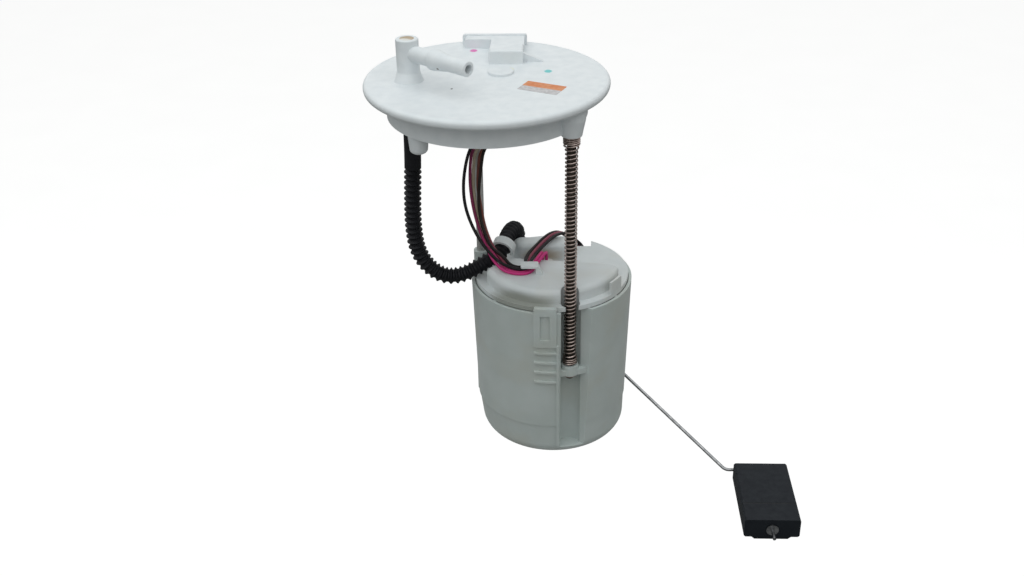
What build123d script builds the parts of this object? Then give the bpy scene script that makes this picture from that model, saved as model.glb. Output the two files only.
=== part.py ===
from build123d import *
import math
import os

# Fuel pump module for a petrol tank: a moulded flange that seats on the tank, two guide rods with a
# spring that push a reservoir cup against the tank floor, a pump and filter inside the cup, and a float
# level sender on the cup's rear wall.
# Millimetres. Origin: centre of the flange's seating face. +Z up, +Y towards the electrical socket's mouth.

# --- driving dimensions: flange -----------------------------------------------------------------------
FLANGE_R = 65.0
FLANGE_T = 5.0
FLANGE_ROUND = 2.3
SKIRT_R = 53.4
SKIRT_WALL = 2.5
SKIRT_DEPTH = 13.4
ROOT_FILLET = 1.2
RIB_T = 1.4
RIB_DEPTH = 5.0
RIB_INNER_R = 13.0
RIB_ANGLES = (-112, -82, -62, -5, 22, 48, 140, 158)
GATE_PAD_AT = (7.1, 6.6)
GATE_PAD_R = 6.9
GATE_PAD_H = 1.5

# --- driving dimensions: outlet post and spigot -------------------------------------------------------
POST_X = -40.4
POST_Y = -4.4
POST_R = 6.0
POST_TOP = 27.5
POST_FLARE_R = 8.0
POST_FLARE_H = 5.0
POST_BORE_R = 2.4
PLUG_R = 3.8
PLUG_T = 3.6
PLUG_RECESS = 0.15
SPIGOT_Z = 20.2
SPIGOT_ANGLE = -39.6
SPIGOT_NECK_R = 4.3
SPIGOT_COLLAR_R = 5.5
SPIGOT_COLLAR_ROUND = 1.8
SPIGOT_TUBE_R = 3.975
SPIGOT_COLLAR_START = 17.4
SPIGOT_COLLAR_END = 21.0
SPIGOT_TUBE_START = 31.0
SPIGOT_LENGTH = 43.5
SPIGOT_TIP_ROUND = 0.6

# --- driving dimensions: electrical socket ------------------------------------------------------------
SOCKET_X = 9.35
BLOCK_W = 18.4
BLOCK_FRONT_Y = 20.8
BLOCK_STEP_Y = 33.3
BLOCK_TOP = 12.6
HOOD_FRONT_Y = 47.8
HOOD_REAR_Y = 56.8
HOOD_LEFT_X = -15.2
HOOD_TOP = 10.2
HOOD_RIM = 1.2
HOOD_RIM_L = 2.2
SOCKET_WALL = 1.2
SOCKET_FLOOR_Z = 3.9
SOCKET_BACK_Y = 37.0
BLADE_COUNT = 5
BLADE_PITCH = 2.5
BLADE_W = 1.5
BLADE_T = 0.64
BLADE_Z = 6.4
BLADE_TIP_Y = 52.5
PIN_Y = 24.0
PIN_BOTTOM_Z = -12.0
WEB_REACH = 10.7
WEB_H = 5.4
WEB_T = 3.0
WEB_Y = BLOCK_FRONT_Y + 6.5

# --- driving dimensions: guide rods, spring and hose nipple -------------------------------------------
ROD_R = 2.4
ROD_FIT = 0.02
SLIDE_FIT = 0.2
ROD_A_X = 44.6
ROD_A_Y = -31.8
ROD_B_X = -7.4
ROD_B_Y = 22.0
ROD_TOP = 1.5
ROD_A_BOSS_R = 7.2
ROD_A_BOSS_TIP_R = 5.4
ROD_A_BOSS_SHOULDER = -6.0
ROD_A_BOSS_BOTTOM = -14.8
ROD_B_BOSS_R = 4.6
ROD_B_BOSS_BOTTOM = -11.0
SPRING_R = 3.5
SPRING_WIRE = 0.9
SPRING_TOP_FLARE_R = 4.6
SPRING_END_FLARE_R = 4.2
SPRING_FLARE_H = 7.0
SPRING_GAP = 0.1
SEAT_Z = -152.4
SEAT_BLOCK_T = 6.0
SEAT_RING_R = 4.75
SEAT_RING_H = 2.4
SEAT_INSET = 1.2
CLIP_R = 3.9
CLIP_T = 0.8
CLIP_GAP = 0.3
ROD_A_TAIL = 2.0
ROD_B_BOTTOM = -152.0
STOP_BOSS_X = -33.7
STOP_BOSS_Y = -33.2
STOP_BOSS_R = 6.6
STOP_BOSS_TIP_R = 4.6
STOP_BOSS_BOTTOM = -24.0

# --- driving dimensions: reservoir cup ----------------------------------------------------------------
CUP_X = 34.0
CUP_Y = 6.7
CUP_RIM_R = 46.0
CUP_WAIST_R = 43.8
CUP_WAIST_STEP = 0.45
CUP_FOOT_R = 41.6
CUP_FOOT_SHIFT = (1.2, -0.8)
CUP_TOP = -116.2
CUP_WAIST_Z = -192.0
CUP_BOTTOM = -214.0
CUP_WALL = 1.7
CUP_CORNER = 8.6
STAND_RIB_T = 2.0
STAND_RIB_REACH = 5.5
STAND_RIB_L = 22.0
STAND_RIB_ANGLES = (-135, -35, 5, 130)
CHANNEL_R = 6.2
CHANNEL_LEFT = 6.8
CHANNEL_RIGHT = 12.5
CHANNEL_PAST = 4.0
CHANNEL_LIP = 2.6
CHANNEL_FLOOR_Z = -208.0
GUIDE_R = 4.2
GUIDE_TOP = -108.0
GUIDE_BOTTOM = -204.0
GUIDE_BORE_BOTTOM = -200.5
NOTCH_X = (43.0, 57.5)
NOTCH_RAMP_X = 67.5
NOTCH_Z = -122.0
PANEL_ANGLE = -94.0
PANEL_W = 12.6
PANEL_PROUD = 1.2
PANEL_TOP = -112.6
PANEL_BOTTOM = -137.5
WINDOW_W = 5.6
WINDOW_H = 15.5
WINDOW_TOP = -117.2
WINDOW_DEPTH = 1.4
LADDER_TOP = -141.0
LADDER_PITCH = 6.4
LADDER_COUNT = 4
LADDER_H = 1.3
FEET_COUNT = 6
FOOT_H = 1.2
FOOT_R = 3.0
FOOT_CIRCLE_R = 26.0
INLET_R = 6.0
SENDER_PAD_X = (37.0, 63.0)
SENDER_PAD_Z = (-205.0, -152.0)
SENDER_PAD_Y = 52.4

# --- driving dimensions: filter lid -------------------------------------------------------------------
LID_TOP = -105.0
LID_R = 39.5
LID_BRIM_R = 43.9
LID_BRIM_TOP = -113.4
LID_BRIM_T = 2.7
LID_WALL = 1.8
LID_ROUND = 3.6
LID_CORNER = 5.0
BLOCK_ROUND = 2.6
LID_RECESS_R = 5.3
LIP_T = 1.2
LIP_H = 7.5
LIP_ANGLES = (-41.0, -27.0)
BRIM_NOTCH_Y = 37.0
CANYON_REAR_Y = 19.5
REAR_BLOCK_X = (11.7, 49.0)
REAR_BLOCK_REAR_Y = 31.0
REAR_BLOCK_TOP = -103.6
CROWN_REAR = ((10.0, 8.0), (66.0, 1.6))
HOSE_SIDE = ((-3.9, -6.5), (7.1, 4.5))
LID_NIPPLE_X = 13.5
LID_NIPPLE_Y = 38.4
NIPPLE_R = 3.2
NIPPLE_BORE_R = 2.2
NIPPLE_LENGTH = 12.0
LID_NIPPLE_LENGTH = 3.0
TAB_X = (17.0, 26.8)
TAB_Y = (-15.4, -8.6)
TAB_Z = -100.9
TAB_T = 1.1
TAB_LEG_T = 1.3
TAB_LEG_W = 3.4
TAB_LEG_INSET = 2.6
TAB_RAMP = 3.0
SADDLE_R = 6.6
SADDLE_FIT = 0.4
SADDLE_LENGTH = 5.0
SADDLE_RUN = 9
SADDLE_SHARE = 0.68
SADDLE_POST_SETBACK = 2.4
SADDLE_WALL = 1.6
SADDLE_GAP_ANGLES = (28, 128)

# --- driving dimensions: hose and wires ---------------------------------------------------------------
HOSE_R = 4.6
HOSE_BORE_R = 3.3
WIRE_R = 0.9
PLUG_BODY_TOP = -4.0
PLUG_BODY_BOTTOM = -16.0
PLUG_BODY_D = 7.0
PUMP_PLUG_X = 30.0
PUMP_PLUG_Y = 10.2
PUMP_PLUG_TOP = -109.6
PUMP_PLUG_W = 9.0
PUMP_PLUG_D = 6.5
PUMP_WIRE_PITCH = 2.2

# --- driving dimensions: pump, filter and valves inside the cup ---------------------------------------
FILTER_CASE_R = 27.0
FILTER_CASE_INNER_R = 20.4
FILTER_CASE_WALL = 1.5
FILTER_CASE_BOTTOM = -172.0
PLEAT_COUNT = 30
PLEAT_OUTER_R = 25.2
PLEAT_INNER_R = 22.2
FILTER_MARGIN = 2.5
PUMP_R = 18.4
PUMP_WALL = 1.0
PUMP_TOP = -124.0
PUMP_BOTTOM = -184.0
ISOLATOR_T = 1.6
CAP_T = 9.0
BASE_T = 5.0
SHAFT_R = 1.6
SHAFT_TOP = -127.0
SHAFT_BOTTOM = -185.5
BUSH_R = 3.2
BUSH_L = 4.0
RUN_FIT = 0.05
ARMATURE_R = 12.0
ARMATURE_TOP = -139.0
ARMATURE_BOTTOM = -170.0
ARMATURE_SLOTS = 8
COMMUTATOR_R = 6.0
MAGNET_INNER_R = 13.0
MAGNET_OUTER_R = 17.3
MAGNET_SPAN = 140.0
IMPELLER_R = 15.2
IMPELLER_T = 3.4
IMPELLER_VANES = 30
STRAINER_LENGTH = 46.0
STRAINER_W = 26.0
STRAINER_T = 5.0
STRAINER_Z = -205.0
REGULATOR_X = 65.0
REGULATOR_Y = 22.0
REGULATOR_R = 6.0
REGULATOR_L = 22.0

# --- driving dimensions: level sender, arm and float --------------------------------------------------
SEAT_GAP = 0.3
SENDER_X = 50.0
PIVOT_Z = -193.6
SENDER_W = 26.0
SENDER_TOP = -146.0
SENDER_BOTTOM = -203.0
SENDER_T = 5.0
CARD_W = 20.0
CARD_H = 24.0
CARD_T = 0.8
CARD_BOTTOM_Z = -182.0
HUB_R = 8.0
HUB_T = 5.0
HUB_GAP = 1.4
ARM_SWING = 72.0
WIPER_TIP = 17.4
ARM_R = 1.0
ARM_FIT = 0.05
ARM_BEND_R = 3.0
ARM_KNEE = (62.0, -201.4)
ARM_ELBOW = (142.5, 2.6, -252.4)
FLOAT_X = 163.3
FLOAT_Z = -252.2
FLOAT_W = 32.5
FLOAT_L = 54.0
FLOAT_ABOVE = 6.8
FLOAT_BELOW = 5.6
FLOAT_REAR_Y = 0.2
FLOAT_CROWN = 2.4
FLOAT_ROUND = 1.6
FLOAT_FIT = 0.08
NUT_R = 3.6
NUT_T = 0.6
ARM_TAIL = 8.0

# --- routes of the hose and the wires, from the flange to the reservoir -------------------------------
HOSE_ROUTE = [
    (POST_X, POST_Y, -3.0),
    (POST_X, POST_Y, -32.0),
    (-42.2, -4.3, -61.0),
    (-43.0, -4.2, -80.0),
    (-41.4, -4.2, -95.4),
    (-35.2, -4.2, -106.4),
    (-25.4, -4.1, -112.3),
    (-14.4, -3.0, -110.8),
    (-4.2, 0.8, -105.8),
    (5.0, 7.0, -102.6),
    (7.2, 13.2, -100.0),
    (8.6, 20.8, -97.9),
    (10.9, 29.9, -98.4),
    (12.4, 34.9, -101.0),
    (LID_NIPPLE_X, LID_NIPPLE_Y, -105.4),
    (LID_NIPPLE_X, LID_NIPPLE_Y, -110.7),
]
WIRE_ROUTES = {
    "wire_black_left": [
        (4.35, 24.0, -16.0), (4.35, 24.0, -22.0), (2.0, 22.7, -27.6), (-6.6, 18.0, -34.3),
        (-11.5, 14.3, -41.9), (-13.9, 11.4, -50.0), (-15.4, 8.4, -61.2), (-14.5, 5.4, -72.7),
        (-10.2, 0.8, -83.6), (-3.4, -4.8, -93.1), (4.5, -9.5, -99.8), (11.5, -12.3, -101.9),
        (17.3, -14.1, -102.15), (21.6, -11.5, -102.15), (22.2, -4.5, -102.0), (24.4, 3.1, -101.9),
        (28.4, 10.6, -100.9), (32.6, 19.0, -100.4), (36.9, 27.5, -100.9), (42.4, 36.0, -104.0),
        (48.0, 43.0, -112.0), (52.0, 48.7, -118.5), (53.6, 54.3, -125.5), (54.0, 55.2, -136.0),
        (54.0, 55.2, -146.0),
    ],
    "wire_maroon": [
        (6.85, 24.0, -16.0), (6.85, 24.0, -22.0), (4.6, 22.4, -28.4), (-4.9, 18.6, -36.2),
        (-10.4, 16.1, -43.4), (-11.4, 13.2, -50.8), (-11.6, 10.2, -62.0), (-10.1, 7.2, -73.6),
        (-7.0, 2.6, -84.4), (-2.4, -3.0, -94.1), (2.0, -7.5, -101.0), (8.0, -13.2, -104.05),
        (17.5, -16.3, -104.05), (23.4, -12.7, -104.05), (25.1, -5.0, -104.05), (29.3, 2.6, -101.9),
        (31.0, 8.0, -102.2), (31.1, 10.2, -105.8), (31.1, 10.2, -109.6),
    ],
    "wire_pink": [
        (9.35, 24.0, -16.0), (9.35, 24.0, -22.0), (7.2, 22.4, -28.6), (-2.9, 18.9, -37.6),
        (-8.9, 17.7, -44.6), (-9.6, 14.8, -51.9), (-10.1, 11.8, -62.7), (-8.7, 8.8, -74.3),
        (-5.8, 4.2, -85.2), (-1.1, -1.4, -94.9), (4.0, -5.5, -101.0), (9.5, -11.4, -104.05),
        (17.3, -14.1, -104.05), (21.6, -11.5, -104.05), (23.0, -5.0, -104.05), (26.9, 2.6, -102.2),
        (28.7, 8.0, -102.2), (28.9, 10.2, -105.8), (28.9, 10.2, -109.6),
    ],
    "wire_brown": [
        (11.85, 24.0, -16.0), (11.85, 24.0, -22.0), (9.8, 22.6, -28.7), (-0.6, 19.8, -38.3),
        (-6.1, 18.2, -45.6), (-6.8, 15.4, -52.4), (-7.6, 12.4, -63.0), (-5.9, 9.4, -74.6),
        (-3.6, 4.8, -85.5), (0.9, -0.4, -95.0), (6.0, -4.5, -100.5), (10.5, -9.6, -104.05),
        (17.0, -11.9, -104.05), (19.8, -10.2, -104.05), (20.4, -4.0, -103.7), (22.6, 4.1, -102.1),
        (26.4, 11.5, -100.9), (30.5, 20.0, -100.4), (35.0, 28.5, -100.9), (40.3, 37.0, -104.0),
        (46.0, 44.0, -112.0), (50.0, 49.5, -118.5), (50.8, 54.3, -125.5), (50.0, 55.2, -136.0),
        (50.0, 55.2, -146.0),
    ],
    "wire_black_right": [
        (14.35, 24.0, -16.0), (14.35, 24.0, -22.0), (12.4, 21.2, -27.4), (1.8, 17.3, -35.4),
        (-4.0, 15.7, -43.0), (-5.1, 12.8, -50.6), (-6.6, 9.8, -61.8), (-6.9, 6.8, -73.4),
        (-4.8, 2.2, -84.2), (-0.2, -3.4, -93.9), (6.8, -4.6, -98.5), (11.1, -9.6, -101.9),
        (16.6, -11.6, -102.15), (19.4, -8.8, -102.15), (19.2, -2.6, -101.9), (21.0, 5.0, -101.3),
        (24.7, 12.5, -100.8), (28.7, 21.0, -100.4), (33.2, 29.5, -100.9), (38.3, 38.0, -104.0),
        (44.0, 45.0, -112.0), (48.0, 50.2, -118.5), (48.0, 54.3, -125.5), (46.0, 55.2, -136.0),
        (46.0, 55.2, -146.0),
    ],
}
CORNER_SHARE = 0.45

UP = (Align.CENTER, Align.CENTER, Align.MIN)
CUT = 1.0


# --- helpers ------------------------------------------------------------------------------------------
def cylinder(radius, low, high, x=0.0, y=0.0):
    return Pos(x, y, low) * Cylinder(radius, high - low, align=UP)


def cone(low_r, high_r, low, high, x=0.0, y=0.0):
    return Pos(x, y, low) * Cone(low_r, high_r, high - low, align=UP)


def block(x_low, x_high, y_low, y_high, z_low, z_high):
    middle = Pos((x_low + x_high) / 2, (y_low + y_high) / 2, (z_low + z_high) / 2)
    return middle * Box(x_high - x_low, y_high - y_low, z_high - z_low)


def turned(profile, x=0.0, y=0.0):
    """Solid of revolution about Z of a closed (radius, height) profile."""
    outline = [Vector(radius, 0, height) for radius, height in profile]
    return Pos(x, y, 0) * revolve(make_face(Polyline(*outline, close=True)), Axis.Z)


def edges_at(shape, height):
    return shape.edges().filter_by_position(Axis.Z, height - 0.01, height + 0.01)


def save(name, shape):
    shape.label = name
    export_step(shape, f"parts/{name}.step")
    return shape


# --- flange -------------------------------------------------------------------------------------------
def flange_disc():
    disc = cylinder(FLANGE_R, 0, FLANGE_T)
    disc = fillet(disc.edges(), FLANGE_ROUND)
    skirt = cylinder(SKIRT_R, -SKIRT_DEPTH, CUT) - cylinder(SKIRT_R - SKIRT_WALL, -SKIRT_DEPTH - CUT, 0)
    pad = cylinder(GATE_PAD_R, FLANGE_T - CUT, FLANGE_T + GATE_PAD_H, *GATE_PAD_AT)
    pad = fillet(edges_at(pad, FLANGE_T + GATE_PAD_H), GATE_PAD_H / 3)
    return disc + skirt + pad


def underside_ribs():
    reach = SKIRT_R - SKIRT_WALL / 2
    rib = block(RIB_INNER_R, reach, -RIB_T / 2, RIB_T / 2, -RIB_DEPTH, CUT)
    ring = cylinder(RIB_INNER_R + RIB_T, -RIB_DEPTH, CUT) - cylinder(RIB_INNER_R, -RIB_DEPTH - CUT, CUT * 2)
    ribs = ring
    for angle in RIB_ANGLES:
        ribs += Rot(0, 0, angle) * rib
    return ribs


def outlet_post():
    post = cylinder(POST_R, FLANGE_T - CUT, POST_TOP)
    post = fillet(edges_at(post, POST_TOP), ROOT_FILLET / 2)
    flare = cone(POST_FLARE_R, POST_R, FLANGE_T - CUT / 2, FLANGE_T + POST_FLARE_H)
    along = Pos(0, 0, SPIGOT_Z) * Rot(0, 90, 0)
    neck = along * cylinder(SPIGOT_NECK_R, 0, SPIGOT_COLLAR_END)
    spigot = turned([
        (0, SPIGOT_COLLAR_START),
        (SPIGOT_COLLAR_R, SPIGOT_COLLAR_START),
        (SPIGOT_COLLAR_R, SPIGOT_COLLAR_END),
        (SPIGOT_TUBE_R, SPIGOT_TUBE_START),
        (SPIGOT_TUBE_R, SPIGOT_LENGTH),
        (0, SPIGOT_LENGTH),
    ])
    spigot = fillet(edges_at(spigot, SPIGOT_COLLAR_START), SPIGOT_COLLAR_ROUND)
    spigot = fillet(edges_at(spigot, SPIGOT_LENGTH), SPIGOT_TIP_ROUND)
    branch = Rot(0, 0, SPIGOT_ANGLE) * (neck + along * spigot)
    return Pos(POST_X, POST_Y, 0) * (post + flare + branch)


def outlet_bores():
    passage = cylinder(POST_BORE_R, HOSE_ROUTE[0][2] - NIPPLE_LENGTH - CUT, POST_TOP - CUT)
    recess = cylinder(PLUG_R, POST_TOP - PLUG_T - PLUG_RECESS, POST_TOP + CUT)
    side = Rot(0, 0, SPIGOT_ANGLE) * Pos(0, 0, SPIGOT_Z) * Rot(0, 90, 0)
    side_bore = side * cylinder(POST_BORE_R, 0, SPIGOT_LENGTH + CUT)
    return Pos(POST_X, POST_Y, 0) * (passage + recess + side_bore)


def barbed_nipple(length):
    """Hose nipple along +Z from 0, its bore left solid, with two shallow barbs inside the hose's bore."""
    barb = NIPPLE_R - 0.5
    return turned([
        (0, 0), (NIPPLE_R, 0), (barb, length * 0.4), (NIPPLE_R, length * 0.4),
        (barb, length * 0.7), (NIPPLE_R, length * 0.7), (barb, length), (0, length),
    ])


def socket_housing():
    left = SOCKET_X - BLOCK_W / 2
    right = SOCKET_X + BLOCK_W / 2
    base = FLANGE_T - CUT
    front = block(left, right, BLOCK_FRONT_Y, BLOCK_STEP_Y, base, BLOCK_TOP)
    front = fillet(front.edges().group_by(Axis.Z)[-1], ROOT_FILLET)
    body = block(left, right, BLOCK_FRONT_Y + CUT, HOOD_REAR_Y, base, HOOD_TOP)
    hood = block(HOOD_LEFT_X, right, HOOD_FRONT_Y, HOOD_REAR_Y, base, HOOD_TOP)
    hood = fillet(hood.edges().filter_by(Axis.Y).group_by(Axis.Z)[-1], ROOT_FILLET * 2)
    rim_left = HOOD_LEFT_X - HOOD_RIM
    rim = block(rim_left, right + HOOD_RIM, HOOD_REAR_Y - HOOD_RIM_L, HOOD_REAR_Y, base, HOOD_TOP + HOOD_RIM / 2)
    rim = fillet(rim.edges().filter_by(Axis.Y).group_by(Axis.Z)[-1], ROOT_FILLET)
    web_face = make_face(Polyline(
        (right - CUT, base), (right + WEB_REACH, base), (right + WEB_REACH, FLANGE_T + CUT / 2),
        (right - CUT, FLANGE_T + WEB_H), close=True))
    web = Pos(0, WEB_Y, 0) * Rot(90, 0, 0) * extrude(web_face, WEB_T)
    return front + body + hood + rim + web


def socket_cavity():
    left = SOCKET_X - BLOCK_W / 2 + SOCKET_WALL
    right = SOCKET_X + BLOCK_W / 2 - SOCKET_WALL
    roof = HOOD_TOP - SOCKET_WALL
    deep = block(left, right, SOCKET_BACK_Y, HOOD_REAR_Y + CUT, SOCKET_FLOOR_Z, roof)
    wide = block(HOOD_LEFT_X + SOCKET_WALL, right, HOOD_FRONT_Y + SOCKET_WALL, HOOD_REAR_Y + CUT, SOCKET_FLOOR_Z, roof)
    mouth = block(HOOD_LEFT_X + SOCKET_WALL, right, HOOD_REAR_Y, FLANGE_R, SOCKET_FLOOR_Z, FLANGE_T + CUT)
    return deep + wide + mouth


def blade_positions():
    first = SOCKET_X - BLADE_PITCH * (BLADE_COUNT - 1) / 2
    return [first + BLADE_PITCH * index for index in range(BLADE_COUNT)]


def terminal_blade(x, fit=0.0):
    half = BLADE_W / 2 + fit
    thick = BLADE_T / 2 + fit
    flat = block(x - half, x + half, PIN_Y - thick, BLADE_TIP_Y, BLADE_Z - thick, BLADE_Z + thick)
    leg = block(x - half, x + half, PIN_Y - thick, PIN_Y + thick, PIN_BOTTOM_Z, BLADE_Z + thick)
    return flat + leg


def rod_bosses():
    boss_a = cylinder(ROD_A_BOSS_R, ROD_A_BOSS_SHOULDER, CUT, ROD_A_X, ROD_A_Y)
    boss_a += cone(ROD_A_BOSS_TIP_R, ROD_A_BOSS_R, ROD_A_BOSS_BOTTOM, ROD_A_BOSS_SHOULDER, ROD_A_X, ROD_A_Y)
    boss_b = cylinder(ROD_B_BOSS_R, ROD_B_BOSS_BOTTOM, CUT, ROD_B_X, ROD_B_Y)
    stop = cone(STOP_BOSS_TIP_R, STOP_BOSS_R, STOP_BOSS_BOTTOM, CUT, STOP_BOSS_X, STOP_BOSS_Y)
    stop = fillet(edges_at(stop, STOP_BOSS_BOTTOM), STOP_BOSS_TIP_R * 0.6)
    return boss_a + boss_b + stop


def rod_sockets():
    socket_a = cylinder(ROD_R + ROD_FIT, ROD_A_BOSS_BOTTOM - CUT, ROD_TOP, ROD_A_X, ROD_A_Y)
    socket_b = cylinder(ROD_R + ROD_FIT, ROD_B_BOSS_BOTTOM - CUT, ROD_TOP, ROD_B_X, ROD_B_Y)
    return socket_a + socket_b


def flange():
    nipple_top = HOSE_ROUTE[0][2]
    stub = cylinder(HOSE_R, nipple_top, CUT, POST_X, POST_Y)
    nipple = Pos(POST_X, POST_Y, nipple_top) * Rot(180, 0, 0) * barbed_nipple(NIPPLE_LENGTH)
    body = flange_disc() + underside_ribs() + rod_bosses() + outlet_post() + socket_housing() + stub + nipple
    body -= outlet_bores()
    body -= socket_cavity()
    body -= rod_sockets()
    for x in blade_positions():
        body -= terminal_blade(x)
    return body


def post_plug():
    top = POST_TOP - PLUG_RECESS
    return cylinder(PLUG_R, top - PLUG_T, top, POST_X, POST_Y)


def flange_wire_plug():
    half_w = BLADE_PITCH * BLADE_COUNT / 2 + 0.6
    half_d = PLUG_BODY_D / 2
    body = block(SOCKET_X - half_w, SOCKET_X + half_w, PIN_Y - half_d, PIN_Y + half_d, PLUG_BODY_BOTTOM, PLUG_BODY_TOP)
    body = fillet(body.edges().filter_by(Axis.Z), ROOT_FILLET)
    latch = block(SOCKET_X - 2.5, SOCKET_X + 2.5, PIN_Y - half_d - 1.2, PIN_Y - half_d + CUT, PLUG_BODY_BOTTOM + 2, PLUG_BODY_TOP)
    body += latch
    for x in blade_positions():
        body -= terminal_blade(x, 0.12)
    return body


# --- rods and spring ----------------------------------------------------------------------------------
def rod_a_bottom():
    return SEAT_Z - SEAT_BLOCK_T - CLIP_GAP - CLIP_T - ROD_A_TAIL


def guide_rod(x, y, bottom):
    rod = cylinder(ROD_R, bottom, ROD_TOP, x, y)
    return chamfer(rod.edges(), ROD_R / 4)


def rod_clip():
    top = SEAT_Z - SEAT_BLOCK_T - CLIP_GAP
    ring = cylinder(CLIP_R, top - CLIP_T, top) - cylinder(ROD_R + ROD_FIT, top - CLIP_T - CUT, top + CUT)
    lug = cylinder(0.7, top - CLIP_T - CUT, top + CUT)
    for angle in (0, 60, 120, 180, 240, 300):
        ring -= Rot(0, 0, angle) * Pos(ROD_R + 0.7, 0, 0) * lug
    return Pos(ROD_A_X, ROD_A_Y, 0) * ring


def guide_spring():
    top = ROD_A_BOSS_BOTTOM - SPRING_GAP
    low = SEAT_Z + SPRING_GAP
    bore = SPRING_R - SPRING_WIRE
    return turned([
        (bore, low), (SPRING_END_FLARE_R, low), (SPRING_END_FLARE_R, low + SPRING_FLARE_H / 2),
        (SPRING_R, low + SPRING_FLARE_H), (SPRING_R, top - SPRING_FLARE_H),
        (SPRING_TOP_FLARE_R, top - SPRING_FLARE_H / 2), (SPRING_TOP_FLARE_R, top), (bore, top),
    ], ROD_A_X, ROD_A_Y)


# --- reservoir cup ------------------------------------------------------------------------------------
def cup_solid(inset, bottom, top):
    """Tapered body that steps in at the waist and draws in further towards the foot."""
    upper = cone(CUP_WAIST_R - inset, CUP_RIM_R - inset, CUP_WAIST_Z, top)
    waist = Pos(0, 0, CUP_WAIST_Z) * Circle(CUP_WAIST_R - CUP_WAIST_STEP - inset)
    foot = Pos(*CUP_FOOT_SHIFT, bottom) * Circle(CUP_FOOT_R - inset)
    lower = loft([foot, waist])
    lower = fillet(edges_at(lower, bottom), CUP_CORNER - inset)
    return Pos(CUP_X, CUP_Y, 0) * (upper + lower)


def channel_angle():
    return math.degrees(math.atan2(ROD_A_Y - CUP_Y, ROD_A_X - CUP_X))


def channel_cut(grow, low, high):
    """Open groove round the sprung rod: a round back, a steep left flank and a wide, soft right flank."""
    radius = CHANNEL_R + grow
    depth = CUP_RIM_R - math.hypot(ROD_A_X - CUP_X, ROD_A_Y - CUP_Y)
    past = depth * CHANNEL_PAST
    left = radius + (CHANNEL_LEFT - CHANNEL_R) * CHANNEL_PAST
    right = radius + (CHANNEL_RIGHT - CHANNEL_R) * CHANNEL_PAST
    flanks = make_face(Polyline((0, -radius), (past, -left), (past, right), (0, radius), close=True))
    mouth = Pos(0, 0, low) * extrude(flanks, high - low)
    return Pos(ROD_A_X, ROD_A_Y, 0) * Rot(0, 0, channel_angle()) * (cylinder(radius, low, high) + mouth)


def cup_front_panel():
    """Raised snap panel on the front wall with its window, and the ladder of short ribs under it."""
    outer = CUP_RIM_R + PANEL_PROUD
    wall = CUP_FOOT_R - CUP_WALL
    panel = block(wall, outer, -PANEL_W / 2, PANEL_W / 2, PANEL_BOTTOM, PANEL_TOP)
    panel = fillet(panel.edges().filter_by(Axis.X).group_by(Axis.Z)[-1], ROOT_FILLET)
    panel -= block(outer - WINDOW_DEPTH, outer + CUT, -WINDOW_W / 2, WINDOW_W / 2, WINDOW_TOP - WINDOW_H, WINDOW_TOP)
    ribs = panel
    for index in range(LADDER_COUNT):
        top = LADDER_TOP - LADDER_PITCH * index
        ribs += block(wall, outer - LADDER_H / 4, -PANEL_W / 2, PANEL_W / 2, top - LADDER_H, top)
    side = block(wall, outer - LADDER_H / 2, PANEL_W / 2, PANEL_W / 2 + LADDER_H, CHANNEL_FLOOR_Z, PANEL_BOTTOM + CUT)
    trim = cup_solid(-PANEL_PROUD, CUP_BOTTOM, CUP_TOP)
    trim += cylinder(outer, CUP_TOP - CUT, PANEL_TOP + CUT, CUP_X, CUP_Y)
    return (Pos(CUP_X, CUP_Y, 0) * Rot(0, 0, PANEL_ANGLE) * (ribs + side)) & trim


def reservoir_cup():
    outside = cup_solid(0, CUP_BOTTOM, CUP_TOP)
    pad = block(*SENDER_PAD_X, CUP_Y, SENDER_PAD_Y, *SENDER_PAD_Z)
    outside += fillet(pad.edges().filter_by(Axis.Y).group_by(Axis.Z)[0], ROOT_FILLET)
    outside += cup_front_panel()
    outside -= channel_cut(0, CHANNEL_FLOOR_Z, CUP_TOP + CUT * 10)
    inside = cup_solid(CUP_WALL, CUP_BOTTOM + CUP_WALL, CUP_TOP)
    inside += cylinder(CUP_RIM_R - CUP_WALL, CUP_TOP - 0.01, CUP_TOP + CUT * 10, CUP_X, CUP_Y)
    inside -= channel_cut(CUP_WALL, CHANNEL_FLOOR_Z - CUP_WALL, CUP_TOP)
    cup = outside - inside
    guide = cylinder(GUIDE_R, GUIDE_BOTTOM, GUIDE_TOP, ROD_B_X, ROD_B_Y)
    cup += guide + spring_seat()
    cup -= cylinder(ROD_R + SLIDE_FIT, GUIDE_BORE_BOTTOM, GUIDE_TOP + CUT, ROD_B_X, ROD_B_Y)
    cup -= cylinder(ROD_R + SLIDE_FIT, SEAT_Z - SEAT_BLOCK_T - CUT, SEAT_Z + CUT, ROD_A_X, ROD_A_Y)
    cup -= rear_notch()
    cup -= cylinder(INLET_R, CUP_BOTTOM - CUT, CUP_BOTTOM + CUP_WALL * 2, CUP_X, CUP_Y)
    cup += stand_ribs()
    foot = cylinder(FOOT_R, CUP_BOTTOM - FOOT_H, CUP_BOTTOM + CUT)
    for index in range(FEET_COUNT):
        turn = Rot(0, 0, 360 / FEET_COUNT * (index + 0.5))
        cup += Pos(CUP_X, CUP_Y, 0) * turn * Pos(FOOT_CIRCLE_R, 0, 0) * foot
    return cup


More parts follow.
